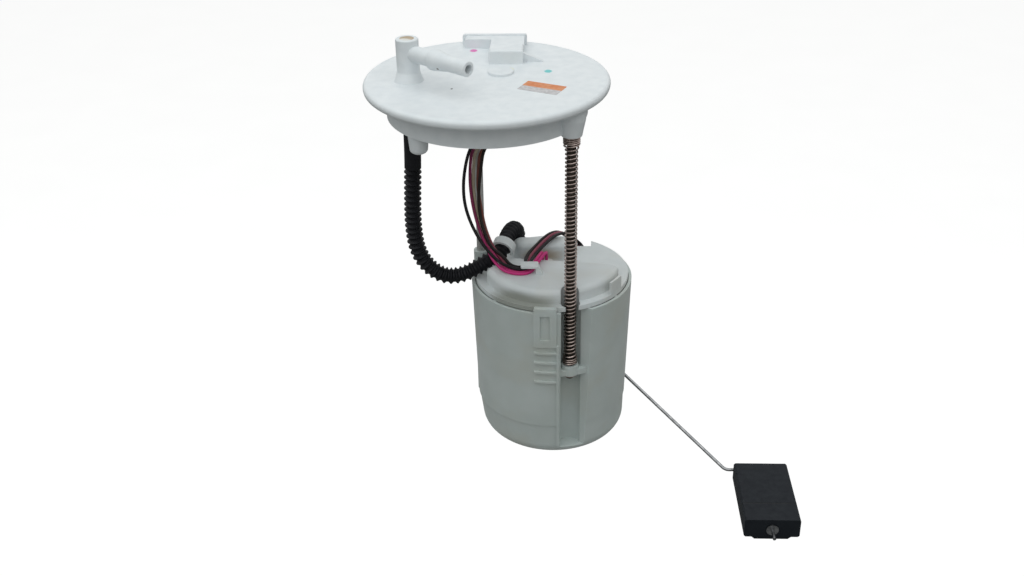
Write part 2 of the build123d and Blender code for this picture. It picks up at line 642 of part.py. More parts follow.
def rear_notch():
    """Dip in the rear rim that lets the wires out, with a long ramp at its right end."""
    left, right = NOTCH_X
    dip = make_face(Polyline(
        (left, CUP_TOP + CUT), (left, NOTCH_Z), (right, NOTCH_Z), (NOTCH_RAMP_X, CUP_TOP),
        (NOTCH_RAMP_X, CUP_TOP + CUT), close=True))
    return Pos(0, CUP_Y + CUP_RIM_R + CUT, 0) * Rot(90, 0, 0) * extrude(dip, CUP_RIM_R)


def stand_ribs():
    """Upright ribs on the inside of the wall that carry the lid's brim."""
    top = LID_BRIM_TOP - LID_BRIM_T
    wall = CUP_RIM_R - CUP_WALL
    rib = block(wall - STAND_RIB_REACH, wall, -STAND_RIB_T / 2, STAND_RIB_T / 2, top - STAND_RIB_L, top)
    toe = Pos(wall - STAND_RIB_REACH, 0, top - STAND_RIB_L) * Rot(0, 38, 0)
    rib -= toe * block(-STAND_RIB_L, STAND_RIB_L, -STAND_RIB_T, STAND_RIB_T, -STAND_RIB_L, 0)
    ribs = [Rot(0, 0, angle) * rib for angle in STAND_RIB_ANGLES]
    return Pos(CUP_X, CUP_Y, 0) * Compound(ribs)


def spring_seat():
    """Ledge across the channel that carries the spring and guides the sprung rod."""
    ledge = channel_cut(CUP_WALL / 2, SEAT_Z - SEAT_BLOCK_T, SEAT_Z - SEAT_RING_H)
    ledge &= cup_solid(SEAT_INSET, CUP_BOTTOM, CUP_TOP)
    ring = cylinder(SEAT_RING_R, SEAT_Z - SEAT_BLOCK_T, SEAT_Z, ROD_A_X, ROD_A_Y)
    return ledge + ring


# --- filter lid ---------------------------------------------------------------------------------------
def side_of(start, end):
    """Large face to the left of the line from start to end."""
    line = (Vector(*end) - Vector(*start)).normalized()
    left = Vector(-line.Y, line.X)
    reach = CUP_RIM_R * 2
    first = Vector(*start) - line * reach
    last = Vector(*start) + line * reach
    return make_face(Polyline(first, last, last + left * reach, first + left * reach, close=True))


def crown_outline():
    """Plan of the lid's front crown: most of a disc, cut off behind the pump and along the hose."""
    plan = Pos(CUP_X, CUP_Y) * Circle(LID_R) - side_of(*CROWN_REAR) - side_of(*HOSE_SIDE)
    return fillet(plan.vertices(), LID_CORNER)


def block_outline():
    left, right = REAR_BLOCK_X
    middle = Pos((left + right) / 2, (CANYON_REAR_Y + REAR_BLOCK_REAR_Y) / 2)
    return middle * RectangleRounded(right - left, REAR_BLOCK_REAR_Y - CANYON_REAR_Y, LID_CORNER)


def raised_form(outline, top, rounding):
    """Closed raised part of the lid, rounded along its top edge."""
    low = LID_BRIM_TOP - CUT
    form = Pos(0, 0, low) * extrude(outline, top - low)
    return fillet(edges_at(form, top), rounding)


def underside_pocket(outline, top):
    low = LID_BRIM_TOP - LID_BRIM_T - CUT
    return Pos(0, 0, low) * extrude(offset(outline, -LID_WALL, kind=Kind.INTERSECTION), top - LID_WALL - low)


def wire_tab():
    plate = block(*TAB_X, *TAB_Y, TAB_Z, TAB_Z + TAB_T)
    plate = fillet(plate.edges().filter_by(Axis.Z), TAB_T)
    inner = TAB_X[1] - TAB_LEG_T
    ramp = make_face(Polyline(
        (inner, LID_TOP - CUT), (inner, TAB_Z + TAB_T), (TAB_X[1], TAB_Z + TAB_T),
        (TAB_X[1] + TAB_RAMP, LID_TOP - CUT), close=True))
    leg = Pos(0, TAB_Y[1] - TAB_LEG_INSET, 0) * Rot(90, 0, 0) * extrude(ramp, TAB_LEG_W)
    return plate + leg


def hose_saddle():
    """Open clip that hooks over the hose above the lid's left side, on a post from the brim."""
    before, after = Vector(*HOSE_ROUTE[SADDLE_RUN]), Vector(*HOSE_ROUTE[SADDLE_RUN + 1])
    middle = before + (after - before) * SADDLE_SHARE
    along = Location(Plane(origin=middle, z_dir=after - before, x_dir=(1, 0, 0)))
    half = SADDLE_LENGTH / 2
    bore = HOSE_R + SADDLE_FIT
    outer = middle.X - SADDLE_R
    front = middle.Y - half + SADDLE_POST_SETBACK
    post = block(outer, outer + SADDLE_WALL, front, middle.Y + half, LID_BRIM_TOP - CUT, middle.Z)
    hoop = Cylinder(SADDLE_R, SADDLE_LENGTH) - Cylinder(bore, SADDLE_LENGTH * 2)
    first, last = SADDLE_GAP_ANGLES
    far = SADDLE_R * 2
    bearings = [math.radians(angle) for angle in (first, (first + last) / 2, last)]
    corners = [(far * math.cos(bearing), far * math.sin(bearing)) for bearing in bearings]
    opening = make_face(Polyline((0, 0), *corners, close=True))
    gap = Pos(0, 0, -SADDLE_LENGTH) * extrude(opening, SADDLE_LENGTH * 2)
    return along * (hoop - gap) + post


def crown_lip():
    """Thin upright lip on the brim that screens the crown's right end."""
    first, last = LIP_ANGLES
    ring = cylinder(LID_BRIM_R, LID_BRIM_TOP - CUT, LID_BRIM_TOP + LIP_H)
    ring -= cylinder(LID_BRIM_R - LIP_T, LID_BRIM_TOP - CUT * 2, LID_BRIM_TOP + LIP_H + CUT)
    far = LID_BRIM_R * 1.5
    sector = make_face(Polyline(
        (0, 0), (far * math.cos(math.radians(first)), far * math.sin(math.radians(first))),
        (far * math.cos(math.radians(last)), far * math.sin(math.radians(last))), close=True))
    wedge = Pos(0, 0, LID_BRIM_TOP - CUT * 2) * extrude(sector, LIP_H + CUT * 4)
    return Pos(CUP_X, CUP_Y, 0) * (ring & wedge)


def reservoir_lid():
    low = LID_BRIM_TOP - LID_BRIM_T
    stub_top = HOSE_ROUTE[-1][2]
    body = cylinder(LID_BRIM_R, low, LID_BRIM_TOP, CUP_X, CUP_Y)
    body += raised_form(crown_outline(), LID_TOP, LID_ROUND)
    body += raised_form(block_outline(), REAR_BLOCK_TOP, BLOCK_ROUND)
    recess_wall = cylinder(LID_RECESS_R + LID_WALL, low - CUT * 2, LID_TOP, ROD_A_X, ROD_A_Y)
    body -= underside_pocket(crown_outline(), LID_TOP) - recess_wall
    body -= underside_pocket(block_outline(), REAR_BLOCK_TOP)
    body -= block(*NOTCH_X, BRIM_NOTCH_Y, CUP_Y + CUP_RIM_R, low - CUT, LID_TOP)
    body -= cylinder(LID_RECESS_R, low - CUT, LID_TOP + CUT, ROD_A_X, ROD_A_Y)
    body -= cylinder(GUIDE_R + SEAT_GAP, low - CUT, LID_TOP + CUT, ROD_B_X, ROD_B_Y)
    body += cylinder(HOSE_R, LID_BRIM_TOP - CUT, stub_top, LID_NIPPLE_X, LID_NIPPLE_Y)
    body += Pos(LID_NIPPLE_X, LID_NIPPLE_Y, stub_top) * barbed_nipple(LID_NIPPLE_LENGTH)
    body += wire_tab()
    body += hose_saddle()
    body += crown_lip()
    body -= cylinder(NIPPLE_BORE_R, low - CUT, LID_TOP + CUT * 10, LID_NIPPLE_X, LID_NIPPLE_Y)
    slot = PUMP_PLUG_W / 3
    body -= block(PUMP_PLUG_X - slot, PUMP_PLUG_X + slot, PUMP_PLUG_Y - CUT, PUMP_PLUG_Y + CUT, low - CUT, LID_BRIM_TOP + CUT)
    return body


def pump_wire_plug():
    half_w = PUMP_PLUG_W / 2
    half_d = PUMP_PLUG_D / 2
    body = block(PUMP_PLUG_X - half_w, PUMP_PLUG_X + half_w, PUMP_PLUG_Y - half_d, PUMP_PLUG_Y + half_d, LID_BRIM_TOP, PUMP_PLUG_TOP)
    body = fillet(body.edges().filter_by(Axis.Z), ROOT_FILLET)
    return body


# --- filter, pump and valves --------------------------------------------------------------------------
def filter_case():
    top = LID_BRIM_TOP - LID_BRIM_T
    outer = cylinder(FILTER_CASE_R, FILTER_CASE_BOTTOM, top) - cylinder(FILTER_CASE_INNER_R, FILTER_CASE_BOTTOM - CUT, top + CUT)
    chamber = cylinder(FILTER_CASE_R - FILTER_CASE_WALL, FILTER_CASE_BOTTOM + FILTER_CASE_WALL, top + CUT)
    chamber -= cylinder(FILTER_CASE_INNER_R + FILTER_CASE_WALL / 2, FILTER_CASE_BOTTOM, top + CUT * 2)
    return Pos(CUP_X, CUP_Y, 0) * (outer - chamber)


def filter_element():
    low = FILTER_CASE_BOTTOM + FILTER_CASE_WALL + FILTER_MARGIN / 2
    high = LID_BRIM_TOP - LID_BRIM_T - FILTER_MARGIN
    half = math.pi / PLEAT_COUNT
    outline = []
    for index in range(PLEAT_COUNT):
        middle = index * 2 * half
        outline.append((PLEAT_OUTER_R * math.cos(middle), PLEAT_OUTER_R * math.sin(middle)))
        valley = PLEAT_INNER_R + 1.4
        outline.append((valley * math.cos(middle + half), valley * math.sin(middle + half)))
    star = make_face(Polyline(*outline, close=True)) - Circle(PLEAT_INNER_R)
    return Pos(CUP_X, CUP_Y, low) * extrude(star, high - low)


def pump_can():
    return Pos(CUP_X, CUP_Y, 0) * (cylinder(PUMP_R, PUMP_BOTTOM, PUMP_TOP) - cylinder(PUMP_R - PUMP_WALL, PUMP_BOTTOM - CUT, PUMP_TOP + CUT))


def pump_outlet_cap():
    inner = PUMP_R - PUMP_WALL
    body = cylinder(inner, PUMP_TOP - CAP_T, PUMP_TOP) + cylinder(4.6, PUMP_TOP - CUT, PUMP_TOP + 6.0, 8.0, 0)
    body += block(-12, -3, -4, 4, PUMP_TOP - CUT, PUMP_TOP + 4.0)
    body -= cylinder(BUSH_R, PUMP_TOP - CAP_T - CUT, PUMP_TOP - CAP_T + BUSH_L)
    body -= cylinder(SHAFT_R + 1, PUMP_TOP - CAP_T, SHAFT_TOP + CUT)
    body -= cylinder(2.6, PUMP_TOP - CAP_T - CUT, PUMP_TOP + 7.0, 8.0, 0)
    return Pos(CUP_X, CUP_Y, 0) * body


def pump_inlet_cover():
    inner = PUMP_R - PUMP_WALL
    body = cylinder(inner, PUMP_BOTTOM - BASE_T, PUMP_BOTTOM + BASE_T) + cylinder(PUMP_R, PUMP_BOTTOM - BASE_T, PUMP_BOTTOM)
    body += cylinder(4.6, STRAINER_Z + STRAINER_T / 2, PUMP_BOTTOM - BASE_T + CUT, 8.0, 0)
    body -= cylinder(BUSH_R, PUMP_BOTTOM + BASE_T - BUSH_L, PUMP_BOTTOM + BASE_T + CUT)
    body -= cylinder(2.8, STRAINER_Z, PUMP_BOTTOM + BASE_T + CUT, 8.0, 0)
    body -= cylinder(SHAFT_R + 1, SHAFT_BOTTOM - CUT, PUMP_BOTTOM + BASE_T)
    return Pos(CUP_X, CUP_Y, 0) * body


def pump_bushes():
    high = PUMP_TOP - CAP_T + BUSH_L
    low = PUMP_BOTTOM + BASE_T
    ring = Cylinder(BUSH_R, BUSH_L, align=UP) - Cylinder(SHAFT_R + RUN_FIT, BUSH_L * 3)
    return Pos(CUP_X, CUP_Y, 0) * (Pos(0, 0, high - BUSH_L) * ring + Pos(0, 0, low - BUSH_L) * ring)


def pump_magnets():
    ring = cylinder(MAGNET_OUTER_R, ARMATURE_BOTTOM - 2, ARMATURE_TOP + 2) - cylinder(MAGNET_INNER_R, ARMATURE_BOTTOM - 3, ARMATURE_TOP + 3)
    gap = 180 - MAGNET_SPAN
    half_gap = MAGNET_OUTER_R * math.tan(math.radians(gap / 2))
    slot = block(-MAGNET_OUTER_R * 2, MAGNET_OUTER_R * 2, -half_gap, half_gap, ARMATURE_BOTTOM - 3, ARMATURE_TOP + 3)
    return Pos(CUP_X, CUP_Y, 0) * (ring - slot)


def pump_armature():
    core = cylinder(ARMATURE_R, ARMATURE_BOTTOM, ARMATURE_TOP)
    slot = block(ARMATURE_R * 0.55, ARMATURE_R * 2, -0.9, 0.9, ARMATURE_BOTTOM - CUT, ARMATURE_TOP + CUT)
    for index in range(ARMATURE_SLOTS):
        core -= Rot(0, 0, 360 / ARMATURE_SLOTS * index) * slot
    shaft = cylinder(SHAFT_R, SHAFT_BOTTOM, SHAFT_TOP)
    commutator = cylinder(COMMUTATOR_R, ARMATURE_TOP, ARMATURE_TOP + 4)
    flat = block(-SHAFT_R * 2, SHAFT_R * 2, SHAFT_R * 0.7, SHAFT_R * 2, impeller_top() - IMPELLER_T - CUT, impeller_top() + CUT)
    return Pos(CUP_X, CUP_Y, 0) * (core + shaft + commutator - flat)


def impeller_top():
    return PUMP_BOTTOM + BASE_T + IMPELLER_T + 1.0


def pump_impeller():
    top = impeller_top()
    disc = cylinder(IMPELLER_R, top - IMPELLER_T, top)
    notch = block(IMPELLER_R * 0.84, IMPELLER_R * 2, -0.5, 0.5, top - IMPELLER_T - CUT, top + CUT)
    for index in range(IMPELLER_VANES):
        disc -= Rot(0, 0, 360 / IMPELLER_VANES * index) * notch
    bore = cylinder(SHAFT_R, top - IMPELLER_T - CUT, top + CUT)
    bore -= block(-SHAFT_R * 2, SHAFT_R * 2, SHAFT_R * 0.7, SHAFT_R * 2, top - IMPELLER_T - CUT * 2, top + CUT * 2)
    return Pos(CUP_X, CUP_Y, 0) * (disc - bore)


def pump_isolator():
    outer = FILTER_CASE_INNER_R
    return Pos(CUP_X, CUP_Y, 0) * (cylinder(outer, FILTER_CASE_BOTTOM, FILTER_CASE_BOTTOM + 14) - cylinder(PUMP_R, FILTER_CASE_BOTTOM - CUT, FILTER_CASE_BOTTOM + 15))


def inlet_strainer():
    pad = Pos(CUP_X + 8.0, CUP_Y, STRAINER_Z) * Box(STRAINER_LENGTH, STRAINER_W, STRAINER_T)
    pad = fillet(pad.edges().filter_by(Axis.Z), STRAINER_W / 3)
    pad = fillet(pad.edges().group_by(Axis.Z)[0] + pad.edges().group_by(Axis.Z)[-1], STRAINER_T * 0.3)
    return pad


def pressure_regulator():
    top = LID_BRIM_TOP - LID_BRIM_T
    low = top - REGULATOR_L
    body = turned([
        (0, low), (REGULATOR_R * 0.5, low), (REGULATOR_R * 0.5, low + 5), (REGULATOR_R * 0.8, low + 5),
        (REGULATOR_R * 0.8, low + 11), (REGULATOR_R, low + 12), (REGULATOR_R, low + 15),
        (REGULATOR_R * 0.8, low + 16), (REGULATOR_R * 0.8, top), (0, top),
    ], REGULATOR_X, REGULATOR_Y)
    return body


def foot_valve():
    low = CUP_BOTTOM
    body = turned([
        (0, low + CUP_WALL), (INLET_R + 2, low + CUP_WALL), (INLET_R + 2, low + CUP_WALL + 0.8),
        (1.5, low + CUP_WALL + 1.6), (0, low + CUP_WALL + 1.6),
    ], CUP_X, CUP_Y)
    return body


# --- level sender -------------------------------------------------------------------------------------
def sender_rear():
    return SENDER_PAD_Y + SEAT_GAP


def sender_body():
    face = sender_rear()
    half = SENDER_W / 2
    body = block(SENDER_X - half, SENDER_X + half, face, face + SENDER_T, SENDER_BOTTOM, SENDER_TOP)
    body = fillet(body.edges().filter_by(Axis.Y), ROOT_FILLET * 1.5)
    pocket = block(SENDER_X - CARD_W / 2 - 0.2, SENDER_X + CARD_W / 2 + 0.2, face + SENDER_T - CARD_T, face + SENDER_T + CUT,
                   CARD_BOTTOM_Z - 0.2, CARD_BOTTOM_Z + CARD_H + 0.2)
    seat = Pos(SENDER_X, face + SENDER_T - CUT, PIVOT_Z) * Rot(-90, 0, 0) * Cylinder(HUB_R * 0.7, HUB_GAP + CUT - ARM_FIT, align=UP)
    hole = Pos(SENDER_X, face - CUT, PIVOT_Z) * Rot(-90, 0, 0) * Cylinder(ARM_R + ARM_FIT, SENDER_T * 3, align=UP)
    for x in (46.0, 50.0, 54.0):
        body += block(x - 1.4, x + 1.4, 55.2 - 1.6, 55.2 + 1.6, SENDER_TOP - CUT, SENDER_TOP)
    return body - pocket + seat - hole


def resistor_card():
    front = sender_rear() + SENDER_T
    return block(SENDER_X - CARD_W / 2, SENDER_X + CARD_W / 2, front - CARD_T, front, CARD_BOTTOM_Z, CARD_BOTTOM_Z + CARD_H)


def hub_low():
    return sender_rear() + SENDER_T + HUB_GAP


def hub_high():
    return hub_low() + HUB_T


def arm_plane():
    return hub_high() + ARM_R + ARM_FIT


def on_hub(y):
    """Place on the pivot at depth y, turned so that the wiper points along local +Z."""
    return Pos(SENDER_X, y, PIVOT_Z) * Rot(0, ARM_SWING / 2, 0)


def arm_hub():
    """Plastic carrier that turns with the wire and holds the wiper on the card."""
    disc = Pos(SENDER_X, hub_low(), PIVOT_Z) * Rot(-90, 0, 0) * Cylinder(HUB_R, HUB_T, align=UP)
    knee_x, knee_z = ARM_KNEE
    angle = math.degrees(math.atan2(PIVOT_Z - knee_z, knee_x - SENDER_X))
    reach = math.hypot(knee_x - SENDER_X, knee_z - PIVOT_Z) * 0.86
    slot = ARM_R + ARM_FIT
    finger = block(0, reach, 0, HUB_T, -3.0, 3.0)
    finger += block(HUB_R * 0.75, reach, HUB_T - CUT, HUB_T + ARM_R * 2, -3.0, -slot)
    finger += block(HUB_R * 0.75, reach, HUB_T - CUT, HUB_T + ARM_R * 2, slot, 3.0)
    lever = block(-3.0, 3.0, 0.4, HUB_T - CUT, HUB_R * 0.7, WIPER_TIP)
    body = disc + Pos(SENDER_X, hub_low(), PIVOT_Z) * Rot(0, angle, 0) * finger + on_hub(hub_low()) * lever
    bore = Pos(SENDER_X, hub_low() - CUT, PIVOT_Z) * Rot(-90, 0, 0) * Cylinder(slot, HUB_T + CUT * 4, align=UP)
    relief = Pos(SENDER_X, hub_high() - CUT, PIVOT_Z) * Rot(-90, 0, 0) * Cylinder(ARM_R * 2, CUT * 4, align=UP)
    return body - bore - relief


def wiper_contact():
    """Spring leaf under the lever with two fingers that run on the card."""
    card_face = sender_rear() + SENDER_T - hub_low()
    tip = WIPER_TIP - 0.6
    leaf = block(-2.2, 2.2, 0.0, 0.4, tip - 7.0, tip)
    for side in (-1.0, 1.0):
        leaf += block(side - 0.6, side + 0.6, card_face + 0.02, 0.1, tip - 1.2, tip)
    return on_hub(hub_low()) * leaf


def arm_path():
    """Centreline of the wire: through the pivot, along the hub, down to the elbow and through the float."""
    knee_x, knee_z = ARM_KNEE
    plane_y = arm_plane()
    tail_y = FLOAT_REAR_Y - FLOAT_L - NUT_T - ARM_TAIL
    points = [
        (SENDER_X, sender_rear() + 0.2, PIVOT_Z),
        (SENDER_X, plane_y, PIVOT_Z),
        (knee_x, plane_y, knee_z),
        ARM_ELBOW,
        (FLOAT_X, ARM_ELBOW[1] + 0.4, FLOAT_Z),
        (FLOAT_X, tail_y, FLOAT_Z),
    ]
    return FilletPolyline(*points, radius=[ARM_R * 1.6, ARM_BEND_R, ARM_BEND_R * 2, ARM_R * 1.6])


def float_arm():
    path = arm_path()
    return sweep(Plane(origin=path @ 0, z_dir=path % 0) * Circle(ARM_R), path=path)


def float_block():
    rear = FLOAT_REAR_Y
    front = rear - FLOAT_L
    low = FLOAT_Z - FLOAT_BELOW
    body = block(FLOAT_X - FLOAT_W / 2, FLOAT_X + FLOAT_W / 2, front, rear, low, FLOAT_Z + FLOAT_ABOVE)
    body = chamfer(body.edges().filter_by(Axis.Y), FLOAT_ROUND * 0.6)
    belly_face = make_face(Polyline(
        (-FLOAT_W * 0.42, CUT), (-FLOAT_W * 0.3, -FLOAT_CROWN), (FLOAT_W * 0.3, -FLOAT_CROWN), (FLOAT_W * 0.42, CUT), close=True))
    belly = Pos(FLOAT_X, rear - CUT, low) * Rot(90, 0, 0) * extrude(belly_face, FLOAT_L - CUT * 2)
    hole = Pos(FLOAT_X, front - CUT, FLOAT_Z) * Rot(-90, 0, 0) * Cylinder(ARM_R + FLOAT_FIT, FLOAT_L + CUT * 2, align=UP)
    return body + belly - hole


def float_nut():
    start = FLOAT_REAR_Y - FLOAT_L - SEAT_GAP
    disc = Cylinder(NUT_R, NUT_T, align=UP) - Cylinder(ARM_R + ROD_FIT, NUT_T * 4)
    return Pos(FLOAT_X, start, FLOAT_Z) * Rot(90, 0, 0) * disc


# --- hose and wires -----------------------------------------------------------------------------------
def corner_radii(points):
    """Largest arc that each corner's two runs allow."""
    radii = []
    for before, here, after in zip(points, points[1:], points[2:]):
        run_in = Vector(*here) - Vector(*before)
        run_out = Vector(*after) - Vector(*here)
        half_turn = math.radians(run_in.get_angle(run_out)) / 2
        radii.append(CORNER_SHARE * min(run_in.length, run_out.length) / math.tan(half_turn))
    return radii


def cord(name, points, section, area):
    radii = corner_radii(points)
    path = FilletPolyline(*points, radius=radii)
    tube = sweep(Plane(origin=path @ 0, z_dir=path % 0) * section, path=path)
    share = tube.volume / (path.length * area)
    rounded = [round(radius, 1) for radius in radii]
    print(f"{name}: length {path.length:.1f} mm, volume over section times length {share:.4f}, radii {rounded}")
    return save(name, tube)


def main():
    os.makedirs("parts", exist_ok=True)
    save("flange", flange())
    save("post_plug", post_plug())
    save("terminal_blades", Compound([terminal_blade(x) for x in blade_positions()]))
    save("flange_wire_plug", flange_wire_plug())
    save("guide_rod_sprung", guide_rod(ROD_A_X, ROD_A_Y, rod_a_bottom()))
    save("guide_rod_plain", guide_rod(ROD_B_X, ROD_B_Y, ROD_B_BOTTOM))
    save("rod_clip", rod_clip())
    save("guide_spring", guide_spring())
    save("reservoir_cup", reservoir_cup())
    save("reservoir_lid", reservoir_lid())
    save("pump_wire_plug", pump_wire_plug())
    save("filter_case", filter_case())
    save("filter_element", filter_element())
    save("pump_can", pump_can())
    save("pump_outlet_cap", pump_outlet_cap())
    save("pump_inlet_cover", pump_inlet_cover())
    save("pump_bushes", pump_bushes())
    save("pump_magnets", pump_magnets())
    save("pump_armature", pump_armature())
    save("pump_impeller", pump_impeller())
    save("pump_isolator", pump_isolator())
    save("inlet_strainer", inlet_strainer())
    save("pressure_regulator", pressure_regulator())
    save("foot_valve", foot_valve())
    save("sender_body", sender_body())
    save("resistor_card", resistor_card())
    save("arm_hub", arm_hub())
    save("wiper_contact", wiper_contact())
    save("float_arm", float_arm())
    save("float_block", float_block())
    save("float_nut", float_nut())
    hose_section = Circle(HOSE_R) - Circle(HOSE_BORE_R)
    cord("fuel_hose", HOSE_ROUTE, hose_section, math.pi * (HOSE_R ** 2 - HOSE_BORE_R ** 2))
    for name, route in WIRE_ROUTES.items():
        cord(name, route, Circle(WIRE_R), math.pi * WIRE_R ** 2)


main()
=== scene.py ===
import math

import bpy
from mathutils import Euler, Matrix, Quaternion, Vector


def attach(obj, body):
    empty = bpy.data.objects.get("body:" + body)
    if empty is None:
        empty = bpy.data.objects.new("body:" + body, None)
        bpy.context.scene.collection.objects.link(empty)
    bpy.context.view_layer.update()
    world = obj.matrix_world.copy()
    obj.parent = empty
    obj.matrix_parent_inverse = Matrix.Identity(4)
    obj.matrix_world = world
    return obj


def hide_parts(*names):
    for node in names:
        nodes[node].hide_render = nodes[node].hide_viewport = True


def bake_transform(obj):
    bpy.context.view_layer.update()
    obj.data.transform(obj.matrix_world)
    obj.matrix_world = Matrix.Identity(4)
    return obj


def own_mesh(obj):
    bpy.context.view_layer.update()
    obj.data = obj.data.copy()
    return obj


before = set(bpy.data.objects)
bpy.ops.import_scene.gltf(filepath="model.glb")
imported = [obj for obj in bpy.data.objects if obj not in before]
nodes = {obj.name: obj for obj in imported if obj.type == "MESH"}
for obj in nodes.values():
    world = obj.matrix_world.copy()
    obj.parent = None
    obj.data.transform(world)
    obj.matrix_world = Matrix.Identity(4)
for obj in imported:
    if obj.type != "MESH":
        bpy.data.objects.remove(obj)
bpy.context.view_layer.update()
bpy.ops.object.select_all(action="DESELECT")


# --- White flange moulding --------------------------------------------------------------------------
# The flange, its skirt, the outlet post with its spigot and the socket hood are one piece of white acetal,
# moulded in one shot. The surface is satin, with faint flow marks, handling dirt and three inspector's dots.

def start_material(name):
    material = bpy.data.materials.new(name)
    material.use_nodes = True
    return material, material.node_tree.nodes, material.node_tree.links


def moulded(name, pale, deep, patch_size, grain_size, roughness, grain_depth, gloss=0.5):
    """Moulded plastic or rubber: two close tones in soft patches, a fine grain and an uneven shine."""
    material, shader_nodes, links = start_material(name)
    shader = shader_nodes["Principled BSDF"]
    shader.inputs["Specular IOR Level"].default_value = gloss
    place = shader_nodes.new("ShaderNodeTexCoord")
    patches = shader_nodes.new("ShaderNodeTexNoise")
    patches.inputs["Scale"].default_value = 1 / patch_size
    patches.inputs["Detail"].default_value = 5
    tones = shader_nodes.new("ShaderNodeValToRGB")
    tones.color_ramp.elements[0].position = 0.3
    tones.color_ramp.elements[0].color = (*deep, 1)
    tones.color_ramp.elements[1].position = 0.7
    tones.color_ramp.elements[1].color = (*pale, 1)
    shine = shader_nodes.new("ShaderNodeMapRange")
    shine.inputs["To Min"].default_value = roughness + 0.1
    shine.inputs["To Max"].default_value = roughness - 0.1
    grain = shader_nodes.new("ShaderNodeTexNoise")
    grain.inputs["Scale"].default_value = 1 / grain_size
    bump = shader_nodes.new("ShaderNodeBump")
    bump.inputs["Strength"].default_value = 0.3
    bump.inputs["Distance"].default_value = grain_depth
    links.new(place.outputs["Object"], patches.inputs["Vector"])
    links.new(place.outputs["Object"], grain.inputs["Vector"])
    links.new(patches.outputs["Fac"], tones.inputs["Fac"])
    links.new(patches.outputs["Fac"], shine.inputs["Value"])
    links.new(tones.outputs["Color"], shader.inputs["Base Color"])
    links.new(shine.outputs["Result"], shader.inputs["Roughness"])
    links.new(grain.outputs["Fac"], bump.inputs["Height"])
    links.new(bump.outputs["Normal"], shader.inputs["Normal"])
    return material


def add_mark(material, centre, reach, colour, edge):
    """A spot, stain or shade on a finish: an oval of another colour with a ragged edge."""
    shader_nodes = material.node_tree.nodes
    links = material.node_tree.links
    shader = shader_nodes["Principled BSDF"]
    under = shader.inputs["Base Color"].links[0].from_socket
    place = shader_nodes.new("ShaderNodeTexCoord")
    oval = shader_nodes.new("ShaderNodeMapping")
    oval.vector_type = "TEXTURE"
    oval.inputs["Location"].default_value = centre
    oval.inputs["Scale"].default_value = reach
    ragged = shader_nodes.new("ShaderNodeTexNoise")
    ragged.inputs["Scale"].default_value = 1.6
    ragged.inputs["Detail"].default_value = 4
    shift = shader_nodes.new("ShaderNodeVectorMath")
    shift.operation = "MULTIPLY_ADD"
    shift.inputs[1].default_value = (0.5, 0.5, 0.5)
    fade = shader_nodes.new("ShaderNodeTexGradient")
    fade.gradient_type = "SPHERICAL"
    share = shader_nodes.new("ShaderNodeMapRange")
    share.interpolation_type = "SMOOTHSTEP"
    share.inputs["From Max"].default_value = edge
    mix = shader_nodes.new("ShaderNodeMix")
    mix.data_type = "RGBA"
    mix.inputs["B"].default_value = (*colour, 1)
    links.new(place.outputs["Object"], oval.inputs["Vector"])
    links.new(oval.outputs["Vector"], ragged.inputs["Vector"])
    links.new(ragged.outputs["Color"], shift.inputs[0])
    links.new(oval.outputs["Vector"], shift.inputs[2])
    links.new(shift.outputs["Vector"], fade.inputs["Vector"])
    links.new(fade.outputs["Fac"], share.inputs["Value"])
    links.new(share.outputs["Result"], mix.inputs["Factor"])
    links.new(under, mix.inputs["A"])
    links.new(mix.outputs["Result"], shader.inputs["Base Color"])


def finish_node(name, material):
    nodes[name].data.materials.clear()
    nodes[name].data.materials.append(material)


FLANGE_FACE_Z = 0.005
white_acetal = moulded("white_acetal", (0.785, 0.82, 0.84), (0.72, 0.76, 0.785), 0.006, 0.0008, 0.42, 0.00004)
INK_DOTS = [
    ((-0.0090, 0.0446), (0.0026, 0.0028), (0.72, 0.16, 0.46)),
    ((0.0328, 0.0098), (0.0026, 0.0030), (0.13, 0.55, 0.56)),
    ((0.0117, 0.0128), (0.0036, 0.0046), (0.78, 0.74, 0.34)),
    ((-0.0168, -0.0176), (0.0008, 0.0010), (0.05, 0.05, 0.05)),
]
for (dot_x, dot_y), (reach_x, reach_y), ink in INK_DOTS:
    add_mark(white_acetal, (dot_x, dot_y, FLANGE_FACE_Z), (reach_x, reach_y, 0.0010), ink, 0.35)
add_mark(white_acetal, (-0.0230, -0.0240, 0.0177), (0.0011, 0.0011, 0.0009), (0.16, 0.14, 0.12), 0.5)
finish_node("flange", white_acetal)


# --- Sticker ------------------------------------------------------------------------------------------
# A thin paper sticker with an orange band and a plain grey one is pressed onto the flange's face beside the
# socket. Nothing is printed on it, and its grey band is worn.

STICKER_AT = (0.0293, -0.0168)
STICKER_SIZE = (0.0221, 0.0134)
STICKER_T = 0.0001
STICKER_TURN = math.radians(-24.1)
STICKER_CORNER = 0.0004


